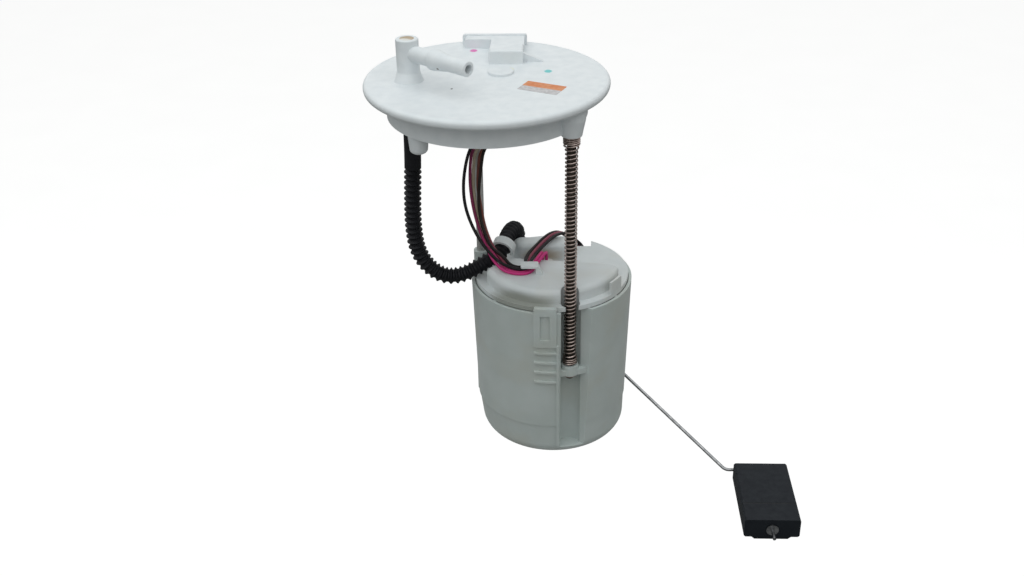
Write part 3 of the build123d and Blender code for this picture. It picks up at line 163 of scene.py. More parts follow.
def sticker_paper():
    """Two bands across the sticker's short side: orange at the rear, worn grey at the front."""
    material = moulded("sticker_paper", (0.64, 0.62, 0.63), (0.40, 0.39, 0.40), 0.0016, 0.0003, 0.5, 0.00001)
    shader_nodes = material.node_tree.nodes
    links = material.node_tree.links
    shader = shader_nodes["Principled BSDF"]
    grey = shader.inputs["Base Color"].links[0].from_socket
    place = shader_nodes.new("ShaderNodeTexCoord")
    turned = shader_nodes.new("ShaderNodeMapping")
    turned.vector_type = "TEXTURE"
    turned.inputs["Location"].default_value = (*STICKER_AT, 0)
    turned.inputs["Rotation"].default_value = (0, 0, STICKER_TURN)
    across = shader_nodes.new("ShaderNodeSeparateXYZ")
    band = shader_nodes.new("ShaderNodeMapRange")
    band.inputs["From Min"].default_value = -0.0006
    band.inputs["From Max"].default_value = -0.0001
    worn = shader_nodes.new("ShaderNodeTexNoise")
    worn.inputs["Scale"].default_value = 500
    orange = shader_nodes.new("ShaderNodeValToRGB")
    orange.color_ramp.elements[0].position = 0.35
    orange.color_ramp.elements[0].color = (0.60, 0.17, 0.04, 1)
    orange.color_ramp.elements[1].position = 0.75
    orange.color_ramp.elements[1].color = (0.66, 0.30, 0.14, 1)
    mix = shader_nodes.new("ShaderNodeMix")
    mix.data_type = "RGBA"
    links.new(place.outputs["Object"], turned.inputs["Vector"])
    links.new(turned.outputs["Vector"], across.inputs["Vector"])
    links.new(across.outputs["Y"], band.inputs["Value"])
    links.new(place.outputs["Object"], worn.inputs["Vector"])
    links.new(worn.outputs["Fac"], orange.inputs["Fac"])
    links.new(band.outputs["Result"], mix.inputs["Factor"])
    links.new(grey, mix.inputs["A"])
    links.new(orange.outputs["Color"], mix.inputs["B"])
    links.new(mix.outputs["Result"], shader.inputs["Base Color"])
    return material


bpy.ops.mesh.primitive_plane_add(size=1)
sticker = bpy.context.view_layer.objects.active
sticker.name = "flange_sticker"
bpy.ops.object.mode_set(mode="EDIT")
bpy.ops.transform.resize(value=(*STICKER_SIZE, 1))
bpy.ops.mesh.bevel(offset=STICKER_CORNER, segments=3, affect="VERTICES")
bpy.ops.mesh.select_all(action="SELECT")
bpy.ops.transform.rotate(value=-STICKER_TURN, orient_axis="Z", center_override=(0, 0, 0))
bpy.ops.transform.translate(value=(*STICKER_AT, FLANGE_FACE_Z))
bpy.ops.mesh.extrude_region_move(TRANSFORM_OT_translate={"value": (0, 0, STICKER_T)})
bpy.ops.mesh.select_all(action="SELECT")
bpy.ops.mesh.normals_make_consistent(inside=False)
bpy.ops.object.mode_set(mode="OBJECT")
sticker.data.materials.append(sticker_paper())
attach(sticker, "flange_assembly")


# --- Plug of the outlet post --------------------------------------------------------------------------
# A turned plug of tan plastic closes the core hole in the post's top. It sits just below the rim, and its
# face is scuffed pale towards the front.

tan_plastic = moulded("tan_plastic", (0.47, 0.37, 0.25), (0.40, 0.30, 0.19), 0.003, 0.0005, 0.4, 0.00003)
add_mark(tan_plastic, (-0.0406, -0.0068, 0.0274), (0.0050, 0.0040, 0.0030), (0.72, 0.71, 0.67), 0.3)
finish_node("post_plug", tan_plastic)


# --- Contacts and plug of the flange ------------------------------------------------------------------
# Five flat brass contacts pass through the socket's floor and down into a natural plug under the flange,
# which carries the ends of the wires.

def worn_metal(name, bright, dull, streak_size, roughness):
    """Bare metal: two tones in fine streaks, rougher where it is dull."""
    material, shader_nodes, links = start_material(name)
    shader = shader_nodes["Principled BSDF"]
    shader.inputs["Metallic"].default_value = 1.0
    place = shader_nodes.new("ShaderNodeTexCoord")
    streaks = shader_nodes.new("ShaderNodeTexNoise")
    streaks.inputs["Scale"].default_value = 1 / streak_size
    streaks.inputs["Detail"].default_value = 3
    tones = shader_nodes.new("ShaderNodeValToRGB")
    tones.color_ramp.elements[0].position = 0.35
    tones.color_ramp.elements[0].color = (*dull, 1)
    tones.color_ramp.elements[1].position = 0.65
    tones.color_ramp.elements[1].color = (*bright, 1)
    gloss = shader_nodes.new("ShaderNodeMapRange")
    gloss.inputs["To Min"].default_value = roughness + 0.1
    gloss.inputs["To Max"].default_value = roughness - 0.08
    links.new(place.outputs["Object"], streaks.inputs["Vector"])
    links.new(streaks.outputs["Fac"], tones.inputs["Fac"])
    links.new(streaks.outputs["Fac"], gloss.inputs["Value"])
    links.new(tones.outputs["Color"], shader.inputs["Base Color"])
    links.new(gloss.outputs["Result"], shader.inputs["Roughness"])
    return material


contact_brass = worn_metal("contact_brass", (0.83, 0.64, 0.33), (0.6, 0.43, 0.2), 0.002, 0.3)
finish_node("terminal_blades", contact_brass)
natural_plastic = moulded("natural_plastic", (0.72, 0.72, 0.68), (0.62, 0.62, 0.58),
                          0.01, 0.0006, 0.45, 0.00003)
finish_node("flange_wire_plug", natural_plastic)


# --- Guide rods ---------------------------------------------------------------------------------------
# Two ground steel rods are pressed into bosses of the flange. One carries the spring, and its steel is
# painted dark brown as shade inside the coils. The other stays bright and runs in the guide tube on the cup's
# wall.

# The sprung rod's dark brown colour is painted shade from the spring wound round it.
shaded_rod_steel = worn_metal("shaded_rod_steel", (0.075, 0.062, 0.052), (0.04, 0.034, 0.028), 0.004, 0.46)
clean_steel = worn_metal("clean_steel", (0.62, 0.62, 0.60), (0.50, 0.50, 0.48), 0.004, 0.34)
finish_node("guide_rod_sprung", shaded_rod_steel)
finish_node("guide_rod_plain", clean_steel)


# --- Guide spring -------------------------------------------------------------------------------------
# A long coil of brown-tinted spring steel round the front rod pushes the cup down. Its end turns are wound
# close and a little wider, and seat on the flange's boss and on the cup's ring.

SPRING_AXIS = (0.0446, -0.0318)
SPRING_TOP = -0.0149
SPRING_LOW = -0.1523
SPRING_WIRE_R = 0.00045
SPRING_COIL_R = 0.00305
SPRING_TURN_STEPS = 20
SPRING_WIRE_SIDES = 8
OPEN_TURNS = 55
TOP_TURNS = 4
TOP_PITCH = 0.00100
TOP_FLARE = 1.31
LOW_TURNS = 3
LOW_PITCH = 0.00130
LOW_FLARE = 1.20
FLARE_FADE = 0.0045


def select_between(piece, low, high):
    """Selects the points of a piece that lie between two heights."""
    bpy.ops.mesh.select_all(action="DESELECT")
    bpy.ops.object.mode_set(mode="OBJECT")
    for point in piece.data.vertices:
        point.select = low <= point.co.z <= high
    bpy.ops.object.mode_set(mode="EDIT")


def coil(name, low, turns, pitch):
    """Even turns of the spring's wire round its axis, from a height up."""
    bpy.ops.mesh.primitive_circle_add(vertices=SPRING_WIRE_SIDES, radius=SPRING_WIRE_R,
                                      location=(SPRING_COIL_R, 0, 0), rotation=(math.pi / 2, 0, 0))
    stretch = bpy.context.view_layer.objects.active
    stretch.name = name
    bpy.ops.object.transform_apply(location=True, rotation=True)
    winding = stretch.modifiers.new("winding", "SCREW")
    winding.iterations = turns
    winding.screw_offset = pitch
    winding.steps = SPRING_TURN_STEPS
    winding.render_steps = SPRING_TURN_STEPS
    bpy.ops.object.modifier_apply(modifier="winding")
    bpy.ops.object.mode_set(mode="EDIT")
    bpy.ops.mesh.select_all(action="SELECT")
    bpy.ops.transform.translate(value=(*SPRING_AXIS, low))
    bpy.ops.object.mode_set(mode="OBJECT")
    return stretch


low_end = SPRING_LOW + SPRING_WIRE_R
open_low = low_end + LOW_TURNS * LOW_PITCH
open_top = SPRING_TOP - SPRING_WIRE_R - TOP_TURNS * TOP_PITCH
low_coil = coil("spring_low", low_end, LOW_TURNS, LOW_PITCH)
top_coil = coil("spring_top", open_top, TOP_TURNS, TOP_PITCH)
spring = coil("spring_coil", open_low, OPEN_TURNS, (open_top - open_low) / OPEN_TURNS)
low_coil.select_set(True)
top_coil.select_set(True)
spring.select_set(True)
bpy.ops.object.join()
bpy.ops.object.mode_set(mode="EDIT")
bpy.ops.mesh.select_all(action="SELECT")
bpy.ops.mesh.remove_doubles(threshold=SPRING_WIRE_R / 20)
bpy.ops.mesh.select_all(action="SELECT")
bpy.ops.mesh.normals_make_consistent(inside=False)
for start, end, flare in ((open_top, SPRING_TOP, TOP_FLARE), (SPRING_LOW, open_low, LOW_FLARE)):
    select_between(spring, start, end)
    bpy.ops.transform.resize(value=(flare, flare, 1), center_override=(*SPRING_AXIS, start),
                             use_proportional_edit=True, proportional_edit_falloff="SMOOTH",
                             proportional_size=FLARE_FADE)
bpy.context.scene.tool_settings.use_proportional_edit = False
bpy.ops.mesh.select_all(action="DESELECT")
bpy.ops.mesh.select_non_manifold()
bpy.ops.mesh.edge_face_add()
bpy.ops.object.mode_set(mode="OBJECT")
bpy.ops.object.shade_smooth()
spring_steel = worn_metal("spring_steel", (0.42, 0.35, 0.32), (0.20, 0.16, 0.14), 0.003, 0.34)
spring.data.materials.append(spring_steel)
finish_node("guide_spring", spring_steel)
finish_node("rod_clip", spring_steel)
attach(spring, "flange_assembly")
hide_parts("guide_spring")
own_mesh(spring)
bpy.ops.object.select_all(action="DESELECT")


# --- Fuel hose ----------------------------------------------------------------------------------------
# A corrugated black nylon hose slips over the nipple under the flange with a smooth cuff, hangs in a loop
# beside the cup, climbs through the lid's clip and turns down onto the lid's nipple.

HOSE_R = 0.0048
HOSE_CUFF_R = 0.0046
HOSE_VALLEY_R = 0.0036
HOSE_CUFF_L = 0.0425
HOSE_CUFF_STEPS = 34
HOSE_PITCH = 0.0032
HOSE_SIDES = 28
HOSE_ROUTE = [
    (-0.0404, -0.0044, -0.003), (-0.0404, -0.0044, -0.032), (-0.0422, -0.0043, -0.061),
    (-0.043, -0.0042, -0.08), (-0.0414, -0.0042, -0.0954), (-0.0352, -0.0042, -0.1064),
    (-0.0254, -0.0041, -0.1123), (-0.0144, -0.003, -0.1108), (-0.0042, 0.0008, -0.1058),
    (0.005, 0.007, -0.1026), (0.0072, 0.0132, -0.1), (0.0086, 0.0208, -0.0979), (0.0109, 0.0299, -0.0984),
    (0.0124, 0.0349, -0.101), (0.0135, 0.0384, -0.1054), (0.0135, 0.0384, -0.1107),
]


def line_curve(name, points, radius, sides):
    """Smooth curve with the points as its control points, and a round section unless the radius is 0."""
    data = bpy.data.curves.new(name, "CURVE")
    data.dimensions = "3D"
    data.bevel_depth = radius
    data.bevel_resolution = sides
    data.use_fill_caps = radius > 0
    spline = data.splines.new("NURBS")
    spline.points.add(len(points) - 1)
    for point, place in zip(spline.points, points):
        point.co = (*place, 1)
    spline.order_u = 3
    spline.use_endpoint_u = True
    spline.resolution_u = 12
    piece = bpy.data.objects.new(name, data)
    bpy.context.scene.collection.objects.link(piece)
    return piece


def route_line(points):
    """Points along the smooth line of a cord's route, and its length."""
    probe = line_curve("route_probe", points, 0, 0)
    bpy.context.view_layer.update()
    seen = bpy.data.meshes.new_from_object(probe.evaluated_get(bpy.context.evaluated_depsgraph_get()))
    line = [tuple(vertex.co) for vertex in seen.vertices]
    bpy.data.objects.remove(probe)
    bpy.data.meshes.remove(seen)
    length = sum(math.dist(a, b) for a, b in zip(line, line[1:]))
    return line, length


def corrugated_tube(name, points, length):
    """One rib extruded from a ring and arrayed, a smooth cuff drawn out of it, bent on the route."""
    count = round((length - HOSE_CUFF_L) / HOSE_PITCH)
    pitch = (length - HOSE_CUFF_L) / count
    steps = ((0.0, HOSE_VALLEY_R), (0.12, HOSE_VALLEY_R), (0.44, HOSE_R),
             (0.54, HOSE_R), (0.86, HOSE_VALLEY_R),
             (1.0, HOSE_VALLEY_R))
    bpy.ops.mesh.primitive_circle_add(vertices=HOSE_SIDES, radius=HOSE_VALLEY_R, rotation=(0, math.pi / 2, 0))
    tube = bpy.context.view_layer.objects.active
    tube.name = name
    bpy.ops.object.transform_apply(rotation=True)
    bpy.ops.object.mode_set(mode="EDIT")
    for (before, r_before), (after, r_after) in zip(steps, steps[1:]):
        bpy.ops.mesh.extrude_region_move(TRANSFORM_OT_translate={"value": ((after - before) * pitch, 0, 0)})
        bpy.ops.transform.resize(value=(1, r_after / r_before, r_after / r_before),
                                 center_override=(after * pitch, 0, 0))
    bpy.ops.mesh.select_all(action="DESELECT")
    bpy.ops.object.mode_set(mode="OBJECT")
    ribs = tube.modifiers.new("ribs", "ARRAY")
    ribs.count = count
    ribs.use_relative_offset = False
    ribs.use_constant_offset = True
    ribs.constant_offset_displace = (pitch, 0, 0)
    ribs.use_merge_vertices = True
    ribs.merge_threshold = pitch / 200
    bpy.ops.object.modifier_apply(modifier="ribs")
    for point in tube.data.vertices:
        point.select = abs(point.co.x) < pitch / 100
    bpy.ops.object.mode_set(mode="EDIT")
    shoulder = HOSE_CUFF_L / HOSE_CUFF_STEPS
    bpy.ops.mesh.extrude_region_move(TRANSFORM_OT_translate={"value": (-pitch / 4, 0, 0)})
    bpy.ops.transform.resize(value=(1, HOSE_CUFF_R / HOSE_VALLEY_R, HOSE_CUFF_R / HOSE_VALLEY_R),
                             center_override=(-pitch / 4, 0, 0))
    bpy.ops.mesh.extrude_region_move(TRANSFORM_OT_translate={"value": (pitch / 4 - shoulder, 0, 0)})
    for _ in range(HOSE_CUFF_STEPS - 1):
        bpy.ops.mesh.extrude_region_move(TRANSFORM_OT_translate={"value": (-shoulder, 0, 0)})
    bpy.ops.mesh.select_all(action="SELECT")
    bpy.ops.transform.translate(value=(HOSE_CUFF_L, 0, 0))
    bpy.ops.mesh.normals_make_consistent(inside=False)
    bpy.ops.object.mode_set(mode="OBJECT")
    guide = line_curve("hose_guide", points, 0, 0)
    bend = tube.modifiers.new("bend", "CURVE")
    bend.object = guide
    bend.deform_axis = "POS_X"
    bpy.ops.object.modifier_apply(modifier="bend")
    bpy.ops.object.shade_smooth_by_angle(angle=math.radians(38))
    bpy.data.objects.remove(guide)
    return tube


hose_line, hose_length = route_line(HOSE_ROUTE)
hose = corrugated_tube("corrugated_hose", HOSE_ROUTE, hose_length)
black_nylon = moulded("black_nylon", (0.010, 0.0105, 0.013), (0.006, 0.0065, 0.008),
                      0.006, 0.0006, 0.5, 0.00003, 0.16)
hose.data.materials.append(black_nylon)
finish_node("fuel_hose", black_nylon)
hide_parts("fuel_hose")
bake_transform(hose)


# --- Wires --------------------------------------------------------------------------------------------
# Five insulated copper wires leave the plug under the flange in a bundle and pass under the lid's tab.
# Two of them drop to the pump's plug, and three go on over the lid and down behind the cup to the sender.
# Each sheath has one colour above and one below; the maroon one's darker upper colour is painted shade under
# the flange.

WIRE_R = 0.0009
SHADE_AND_TINT_TOP = -0.080
SHADE_AND_TINT_LOW = -0.100
WIRE_ROUTES = {
    "wire_black_left": [
        (0.00435, 0.024, -0.016), (0.00435, 0.024, -0.022), (0.002, 0.0227, -0.0276),
        (-0.0066, 0.018, -0.0343), (-0.0115, 0.0143, -0.0419), (-0.0139, 0.0114, -0.05),
        (-0.0154, 0.0084, -0.0612), (-0.0145, 0.0054, -0.0727), (-0.0102, 0.0008, -0.0836),
        (-0.0034, -0.0048, -0.0931), (0.0045, -0.0095, -0.0998), (0.0115, -0.0123, -0.1019),
        (0.0173, -0.0141, -0.10215), (0.0216, -0.0115, -0.10215), (0.0222, -0.0045, -0.102),
        (0.0244, 0.0031, -0.1019), (0.0284, 0.0106, -0.1009), (0.0326, 0.019, -0.1004),
        (0.0369, 0.0275, -0.1009), (0.0424, 0.036, -0.104), (0.048, 0.043, -0.112), (0.052, 0.0487, -0.1185),
        (0.0536, 0.0543, -0.1255), (0.054, 0.0552, -0.136), (0.054, 0.0552, -0.146),
    ],
    "wire_maroon": [
        (0.00685, 0.024, -0.016), (0.00685, 0.024, -0.022), (0.0046, 0.0224, -0.0284),
        (-0.0049, 0.0186, -0.0362), (-0.0104, 0.0161, -0.0434), (-0.0114, 0.0132, -0.0508),
        (-0.0116, 0.0102, -0.062), (-0.0101, 0.0072, -0.0736), (-0.007, 0.0026, -0.0844),
        (-0.0024, -0.003, -0.0941), (0.002, -0.0075, -0.101), (0.008, -0.0132, -0.10405),
        (0.0175, -0.0163, -0.10405), (0.0234, -0.0127, -0.10405), (0.0251, -0.005, -0.10405),
        (0.0293, 0.0026, -0.1019), (0.031, 0.008, -0.1022), (0.0311, 0.0102, -0.1058),
        (0.0311, 0.0102, -0.1096),
    ],
    "wire_pink": [
        (0.00935, 0.024, -0.016), (0.00935, 0.024, -0.022), (0.0072, 0.0224, -0.0286),
        (-0.0029, 0.0189, -0.0376), (-0.0089, 0.0177, -0.0446), (-0.0096, 0.0148, -0.0519),
        (-0.0101, 0.0118, -0.0627), (-0.0087, 0.0088, -0.0743), (-0.0058, 0.0042, -0.0852),
        (-0.0011, -0.0014, -0.0949), (0.004, -0.0055, -0.101), (0.0095, -0.0114, -0.10405),
        (0.0173, -0.0141, -0.10405), (0.0216, -0.0115, -0.10405), (0.023, -0.005, -0.10405),
        (0.0269, 0.0026, -0.1022), (0.0287, 0.008, -0.1022), (0.0289, 0.0102, -0.1058),
        (0.0289, 0.0102, -0.1096),
    ],
    "wire_brown": [
        (0.01185, 0.024, -0.016), (0.01185, 0.024, -0.022), (0.0098, 0.0226, -0.0287),
        (-0.0006, 0.0198, -0.0383), (-0.0061, 0.0182, -0.0456), (-0.0068, 0.0154, -0.0524),
        (-0.0076, 0.0124, -0.063), (-0.0059, 0.0094, -0.0746), (-0.0036, 0.0048, -0.0855),
        (0.0009, -0.0004, -0.095), (0.006, -0.0045, -0.1005), (0.0105, -0.0096, -0.10405),
        (0.017, -0.0119, -0.10405), (0.0198, -0.0102, -0.10405), (0.0204, -0.004, -0.1037),
        (0.0226, 0.0041, -0.1021), (0.0264, 0.0115, -0.1009), (0.0305, 0.02, -0.1004),
        (0.035, 0.0285, -0.1009), (0.0403, 0.037, -0.104), (0.046, 0.044, -0.112), (0.05, 0.0495, -0.1185),
        (0.0508, 0.0543, -0.1255), (0.05, 0.0552, -0.136), (0.05, 0.0552, -0.146),
    ],
    "wire_black_right": [
        (0.01435, 0.024, -0.016), (0.01435, 0.024, -0.022), (0.0124, 0.0212, -0.0274),
        (0.0018, 0.0173, -0.0354), (-0.004, 0.0157, -0.043), (-0.0051, 0.0128, -0.0506),
        (-0.0066, 0.0098, -0.0618), (-0.0069, 0.0068, -0.0734), (-0.0048, 0.0022, -0.0842),
        (-0.0002, -0.0034, -0.0939), (0.0068, -0.0046, -0.0985), (0.0111, -0.0096, -0.1019),
        (0.0166, -0.0116, -0.10215), (0.0194, -0.0088, -0.10215), (0.0192, -0.0026, -0.1019),
        (0.021, 0.005, -0.1013), (0.0247, 0.0125, -0.1008), (0.0287, 0.021, -0.1004),
        (0.0332, 0.0295, -0.1009), (0.0383, 0.038, -0.104), (0.044, 0.045, -0.112), (0.048, 0.0502, -0.1185),
        (0.048, 0.0543, -0.1255), (0.046, 0.0552, -0.136), (0.046, 0.0552, -0.146),
    ],
}
WIRE_COLOURS = {
    "wire_black_left": ("wire_black", (0.012, 0.011, 0.013), (0.012, 0.010, 0.012)),
    # The maroon wire's darker upper colour is painted shade under the flange; the lower magenta is its lit
    # colour.
    "wire_maroon": ("wire_maroon", (0.27, 0.040, 0.11), (0.60, 0.050, 0.22)),
    "wire_pink": ("wire_pink", (0.62, 0.55, 0.41), (0.66, 0.06, 0.24)),
    "wire_brown": ("wire_brown", (0.26, 0.09, 0.07), (0.30, 0.075, 0.115)),
    "wire_black_right": ("wire_black", (0.020, 0.014, 0.012), (0.014, 0.010, 0.011)),
}


def shade_and_tint_down(material, lower):
    """The sheath's colour goes over into another one between two heights."""
    shader_nodes = material.node_tree.nodes
    links = material.node_tree.links
    shader = shader_nodes["Principled BSDF"]
    upper = shader.inputs["Base Color"].links[0].from_socket
    place = shader_nodes.new("ShaderNodeTexCoord")
    height = shader_nodes.new("ShaderNodeSeparateXYZ")
    share = shader_nodes.new("ShaderNodeMapRange")
    share.interpolation_type = "SMOOTHSTEP"
    share.inputs["From Min"].default_value = SHADE_AND_TINT_TOP
    share.inputs["From Max"].default_value = SHADE_AND_TINT_LOW
    mix = shader_nodes.new("ShaderNodeMix")
    mix.data_type = "RGBA"
    mix.inputs["B"].default_value = (*lower, 1)
    links.new(place.outputs["Object"], height.inputs["Vector"])
    links.new(height.outputs["Z"], share.inputs["Value"])
    links.new(share.outputs["Result"], mix.inputs["Factor"])
    links.new(upper, mix.inputs["A"])
    links.new(mix.outputs["Result"], shader.inputs["Base Color"])


for wire_name, route in WIRE_ROUTES.items():
    wire_slot, upper_colour, lower_colour = WIRE_COLOURS[wire_name]
    wire_line, wire_length = route_line(route)
    wire = line_curve(wire_name + "_insulation", route, WIRE_R, 3)
    wire.select_set(True)
    bpy.context.view_layer.objects.active = wire
    bpy.ops.object.convert(target="MESH")
    bpy.ops.object.shade_smooth()
    wire = bpy.context.view_layer.objects.active
    darker = [0.8 * share for share in upper_colour]
    wire_sheath = moulded(wire_name + "_sheath", upper_colour, darker, 0.008, 0.0005, 0.5, 0.00002, 0.14)
    shade_and_tint_down(wire_sheath, lower_colour)
    wire.data.materials.append(wire_sheath)
    finish_node(wire_name, wire_sheath)
    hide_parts(wire_name)
    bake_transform(wire)
    bpy.ops.object.select_all(action="DESELECT")


# --- Reservoir cup and lid ----------------------------------------------------------------------------
# The cup and the filter's lid are moulded in natural acetal, milky and slightly translucent, so that
# light spreads inside the walls. Two darker patches on the lid are painted shade: brownish in the groove
# before its rear block, and greyer on the front of its lower wall.

def milky_plastic(name, pale, deep, warm, roughness):
    """Natural acetal: milky patches, warmer stains, and light spread under the surface."""
    material = moulded(name, pale, deep, 0.020, 0.0010, roughness, 0.00004, 0.4)
    shader_nodes = material.node_tree.nodes
    links = material.node_tree.links
    shader = shader_nodes["Principled BSDF"]
    shader.inputs["Subsurface Weight"].default_value = 0.25
    shader.inputs["Subsurface Radius"].default_value = (0.9, 1.0, 1.0)
    shader.inputs["Subsurface Scale"].default_value = 0.003
    shader.inputs["Sheen Weight"].default_value = 0.12
    shader.inputs["Sheen Roughness"].default_value = 0.4
    clean = shader.inputs["Base Color"].links[0].from_socket
    place = shader_nodes.new("ShaderNodeTexCoord")
    stains = shader_nodes.new("ShaderNodeTexNoise")
    stains.inputs["Scale"].default_value = 28
    stains.inputs["Detail"].default_value = 3
    share = shader_nodes.new("ShaderNodeMapRange")
    share.inputs["From Min"].default_value = 0.5
    share.inputs["From Max"].default_value = 0.78
    mix = shader_nodes.new("ShaderNodeMix")
    mix.data_type = "RGBA"
    mix.inputs["B"].default_value = (*warm, 1)
    links.new(place.outputs["Object"], stains.inputs["Vector"])
    links.new(stains.outputs["Fac"], share.inputs["Value"])
    links.new(share.outputs["Result"], mix.inputs["Factor"])
    links.new(clean, mix.inputs["A"])
    links.new(mix.outputs["Result"], shader.inputs["Base Color"])
    return material


cup_acetal = milky_plastic("cup_acetal", (0.56, 0.615, 0.605), (0.50, 0.555, 0.54), (0.51, 0.53, 0.48), 0.42)
lid_acetal = milky_plastic("lid_acetal", (0.72, 0.76, 0.77), (0.65, 0.69, 0.70), (0.62, 0.62, 0.58), 0.4)
# Painted shade: a brownish darkening in the groove in front of the lid's rear block.
add_mark(lid_acetal, (0.0330, 0.0195, -0.1090), (0.0180, 0.0060, 0.0060), (0.40, 0.33, 0.25), 0.8)
# Painted shade: a darker patch on the front of the lid's lower wall and brim, where they lie in shade.
add_mark(lid_acetal, (0.0220, -0.0300, -0.1120), (0.0340, 0.0230, 0.0075), (0.34, 0.355, 0.325), 0.6)
finish_node("reservoir_cup", cup_acetal)
finish_node("reservoir_lid", lid_acetal)
finish_node("filter_case", lid_acetal)
finish_node("pump_wire_plug", natural_plastic)


# --- Pump and filter inside the cup -------------------------------------------------------------------
# The pump stands in the middle of the ring filter. Its can is plated steel, the inlet cover is die cast,
# and the rotor turns in two bushes between ferrite magnets.

pump_steel = worn_metal("pump_steel", (0.62, 0.62, 0.6), (0.5, 0.5, 0.48), 0.006, 0.3)
cast_metal = worn_metal("cast_metal", (0.6, 0.61, 0.62), (0.45, 0.46, 0.47), 0.002, 0.48)
black_plastic = moulded("black_plastic", (0.035, 0.035, 0.037), (0.02, 0.02, 0.022),
                        0.008, 0.0006, 0.5, 0.00004)
black_rubber = moulded("black_rubber", (0.03, 0.03, 0.03), (0.018, 0.018, 0.018), 0.006, 0.0005, 0.7, 0.00005)
ferrite = moulded("ferrite", (0.1, 0.1, 0.11), (0.06, 0.06, 0.065), 0.004, 0.0005, 0.6, 0.00005)
windings = moulded("windings", (0.4, 0.2, 0.1), (0.22, 0.1, 0.05), 0.003, 0.0004, 0.45, 0.00005)
filter_paper = moulded("filter_paper", (0.66, 0.58, 0.38), (0.54, 0.46, 0.28), 0.004, 0.0004, 0.85, 0.00006)
strainer_mesh = moulded("strainer_mesh", (0.74, 0.75, 0.72), (0.62, 0.63, 0.6), 0.004, 0.0004, 0.8, 0.00008)
finish_node("filter_element", filter_paper)
finish_node("pump_can", pump_steel)
finish_node("pump_outlet_cap", black_plastic)
finish_node("pump_inlet_cover", cast_metal)
finish_node("pump_bushes", contact_brass)
finish_node("pump_magnets", ferrite)
finish_node("pump_armature", windings)
finish_node("pump_impeller", black_plastic)
finish_node("pump_isolator", black_rubber)
finish_node("inlet_strainer", strainer_mesh)
finish_node("pressure_regulator", pump_steel)
finish_node("foot_valve", black_rubber)


# --- Level sender -------------------------------------------------------------------------------------
# The sender clips to the cup's rear wall. Its card and wiper are open to the fuel, and a bent steel wire
# turns with the black hub and carries the float.

ceramic = moulded("ceramic", (0.8, 0.79, 0.74), (0.7, 0.69, 0.64), 0.006, 0.0005, 0.5, 0.00002)
arm_steel = worn_metal("arm_steel", (0.29, 0.295, 0.30), (0.17, 0.175, 0.18), 0.003, 0.3)
finish_node("sender_body", natural_plastic)
finish_node("resistor_card", ceramic)
finish_node("arm_hub", black_plastic)
finish_node("wiper_contact", contact_brass)
finish_node("float_arm", arm_steel)
finish_node("float_nut", arm_steel)


# --- Float --------------------------------------------------------------------------------------------
# The float is a block of closed-cell black foam rubber, dull and slightly mottled, threaded on the wire.
# The foaming mould's parting line runs across it near the front.

SEAM_Y = -0.0382
SEAM_HALF_W = 0.0006


def foam_rubber():
    """Dull foam with fine pores, and a shallow darker groove along the parting line."""
    material = moulded("float_foam", (0.0095, 0.0125, 0.0165), (0.006, 0.008, 0.0115),
                       0.004, 0.0005, 0.62, 0.00012, 0.16)
    shader_nodes = material.node_tree.nodes
    links = material.node_tree.links
    shader = shader_nodes["Principled BSDF"]
    skin = shader.inputs["Base Color"].links[0].from_socket
    place = shader_nodes.new("ShaderNodeTexCoord")
    along = shader_nodes.new("ShaderNodeSeparateXYZ")
    off = shader_nodes.new("ShaderNodeMath")
    off.operation = "SUBTRACT"
    off.inputs[1].default_value = SEAM_Y
    width = shader_nodes.new("ShaderNodeMath")
    width.operation = "ABSOLUTE"
    share = shader_nodes.new("ShaderNodeMapRange")
    share.inputs["From Min"].default_value = SEAM_HALF_W
    share.inputs["From Max"].default_value = 0
    mix = shader_nodes.new("ShaderNodeMix")
    mix.data_type = "RGBA"
    mix.inputs["B"].default_value = (0.004, 0.0045, 0.005, 1)
    groove = shader_nodes.new("ShaderNodeBump")
    groove.invert = True
    groove.inputs["Strength"].default_value = 0.6
    groove.inputs["Distance"].default_value = 0.0002
    pores = shader.inputs["Normal"].links[0].from_socket
    links.new(place.outputs["Object"], along.inputs["Vector"])
    links.new(along.outputs["Y"], off.inputs[0])
    links.new(off.outputs["Value"], width.inputs[0])
    links.new(width.outputs["Value"], share.inputs["Value"])
    links.new(share.outputs["Result"], mix.inputs["Factor"])
    links.new(skin, mix.inputs["A"])
    links.new(mix.outputs["Result"], shader.inputs["Base Color"])
    links.new(share.outputs["Result"], groove.inputs["Height"])
    links.new(pores, groove.inputs["Normal"])
    links.new(groove.outputs["Normal"], shader.inputs["Normal"])
    return material


finish_node("float_block", foam_rubber())


# --- Stage, light and camera --------------------------------------------------------------------------
# A pale floor lies far below, one very broad lamp hangs overhead, and the room gives a weak even fill.

CAMERA_AT = (0.0390, -0.6137, 0.2197)
CAMERA_PITCH = math.radians(29.06)
CAMERA_TURN = math.radians(2.58)
CAMERA_ROLL = math.radians(-1.02)
CAMERA_LENS = 42.97
FLOOR_Z = -0.62
FLOOR_SIZE = 12
LAMP_AT = (-0.10, -0.35, 1.15)
LAMP_SIZE = 2.8
LAMP_ENERGY = 19.5
FILL = 0.36


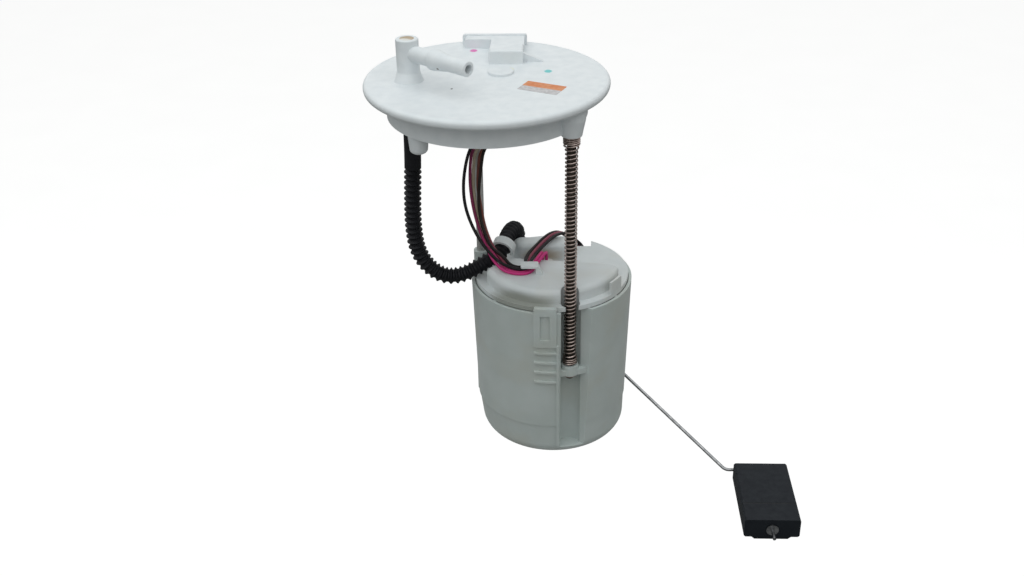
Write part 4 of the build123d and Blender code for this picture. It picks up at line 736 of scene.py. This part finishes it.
def floor_paint():
    """Matt paint with a barely visible grain, shown white to the camera apart from the shadow on it."""
    material = moulded("floor_paint", (0.34, 0.34, 0.34), (0.32, 0.32, 0.32), 0.1, 0.002, 0.85, 0.00002, 0.0)
    shader_nodes = material.node_tree.nodes
    links = material.node_tree.links
    shader = shader_nodes["Principled BSDF"]
    ray = shader_nodes.new("ShaderNodeLightPath")
    white = shader_nodes.new("ShaderNodeEmission")
    white.inputs["Strength"].default_value = 0.82
    both = shader_nodes.new("ShaderNodeAddShader")
    seen = shader_nodes.new("ShaderNodeMixShader")
    links.new(shader.outputs["BSDF"], both.inputs[0])
    links.new(white.outputs["Emission"], both.inputs[1])
    links.new(ray.outputs["Is Camera Ray"], seen.inputs["Fac"])
    links.new(shader.outputs["BSDF"], seen.inputs[1])
    links.new(both.outputs["Shader"], seen.inputs[2])
    links.new(seen.outputs["Shader"], shader_nodes["Material Output"].inputs["Surface"])
    return material


bpy.ops.mesh.primitive_plane_add(size=FLOOR_SIZE, location=(0, 0, FLOOR_Z))
floor = bpy.context.view_layer.objects.active
floor.name = "floor"
floor.data.materials.append(floor_paint())

level = Euler((math.pi / 2 - CAMERA_PITCH, 0, CAMERA_TURN)).to_quaternion()
turn = level @ Quaternion((0, 0, 1), CAMERA_ROLL)
bpy.ops.object.camera_add(location=CAMERA_AT)
camera = bpy.context.view_layer.objects.active
camera.rotation_mode = "QUATERNION"
camera.rotation_quaternion = turn
camera.data.lens = CAMERA_LENS
camera.data.sensor_width = 36
bpy.context.scene.camera = camera

bpy.ops.object.light_add(type="AREA", location=LAMP_AT)
lamp = bpy.context.view_layer.objects.active
lamp.data.shape = "DISK"
lamp.data.size = LAMP_SIZE
lamp.data.energy = LAMP_ENERGY
lamp.data.color = (0.95, 0.985, 1.0)
lamp.rotation_mode = "QUATERNION"
lamp.rotation_quaternion = (Vector((0.02, 0, -0.1)) - lamp.location).to_track_quat("-Z", "Y")

world = bpy.data.worlds.new("studio")
bpy.context.scene.world = world
world.use_nodes = True
world_nodes = world.node_tree.nodes
world_links = world.node_tree.links
fill = world_nodes["Background"]
fill.inputs["Color"].default_value = (0.98, 1.0, 0.96, 1)
fill.inputs["Strength"].default_value = FILL
shown = world_nodes.new("ShaderNodeBackground")
shown.inputs["Color"].default_value = (1, 1, 1, 1)
shown.inputs["Strength"].default_value = 1.0
ray = world_nodes.new("ShaderNodeLightPath")
mirrored = world_nodes.new("ShaderNodeMath")
mirrored.operation = "MAXIMUM"
direct = world_nodes.new("ShaderNodeMath")
direct.operation = "MAXIMUM"
either = world_nodes.new("ShaderNodeMixShader")
world_links.new(ray.outputs["Is Glossy Ray"], mirrored.inputs[0])
world_links.new(ray.outputs["Is Transmission Ray"], mirrored.inputs[1])
world_links.new(ray.outputs["Is Camera Ray"], direct.inputs[0])
world_links.new(mirrored.outputs["Value"], direct.inputs[1])
world_links.new(direct.outputs["Value"], either.inputs["Fac"])
world_links.new(fill.outputs["Background"], either.inputs[1])
world_links.new(shown.outputs["Background"], either.inputs[2])
world_links.new(either.outputs["Shader"], world_nodes["World Output"].inputs["Surface"])

bpy.context.scene.view_settings.view_transform = "Standard"
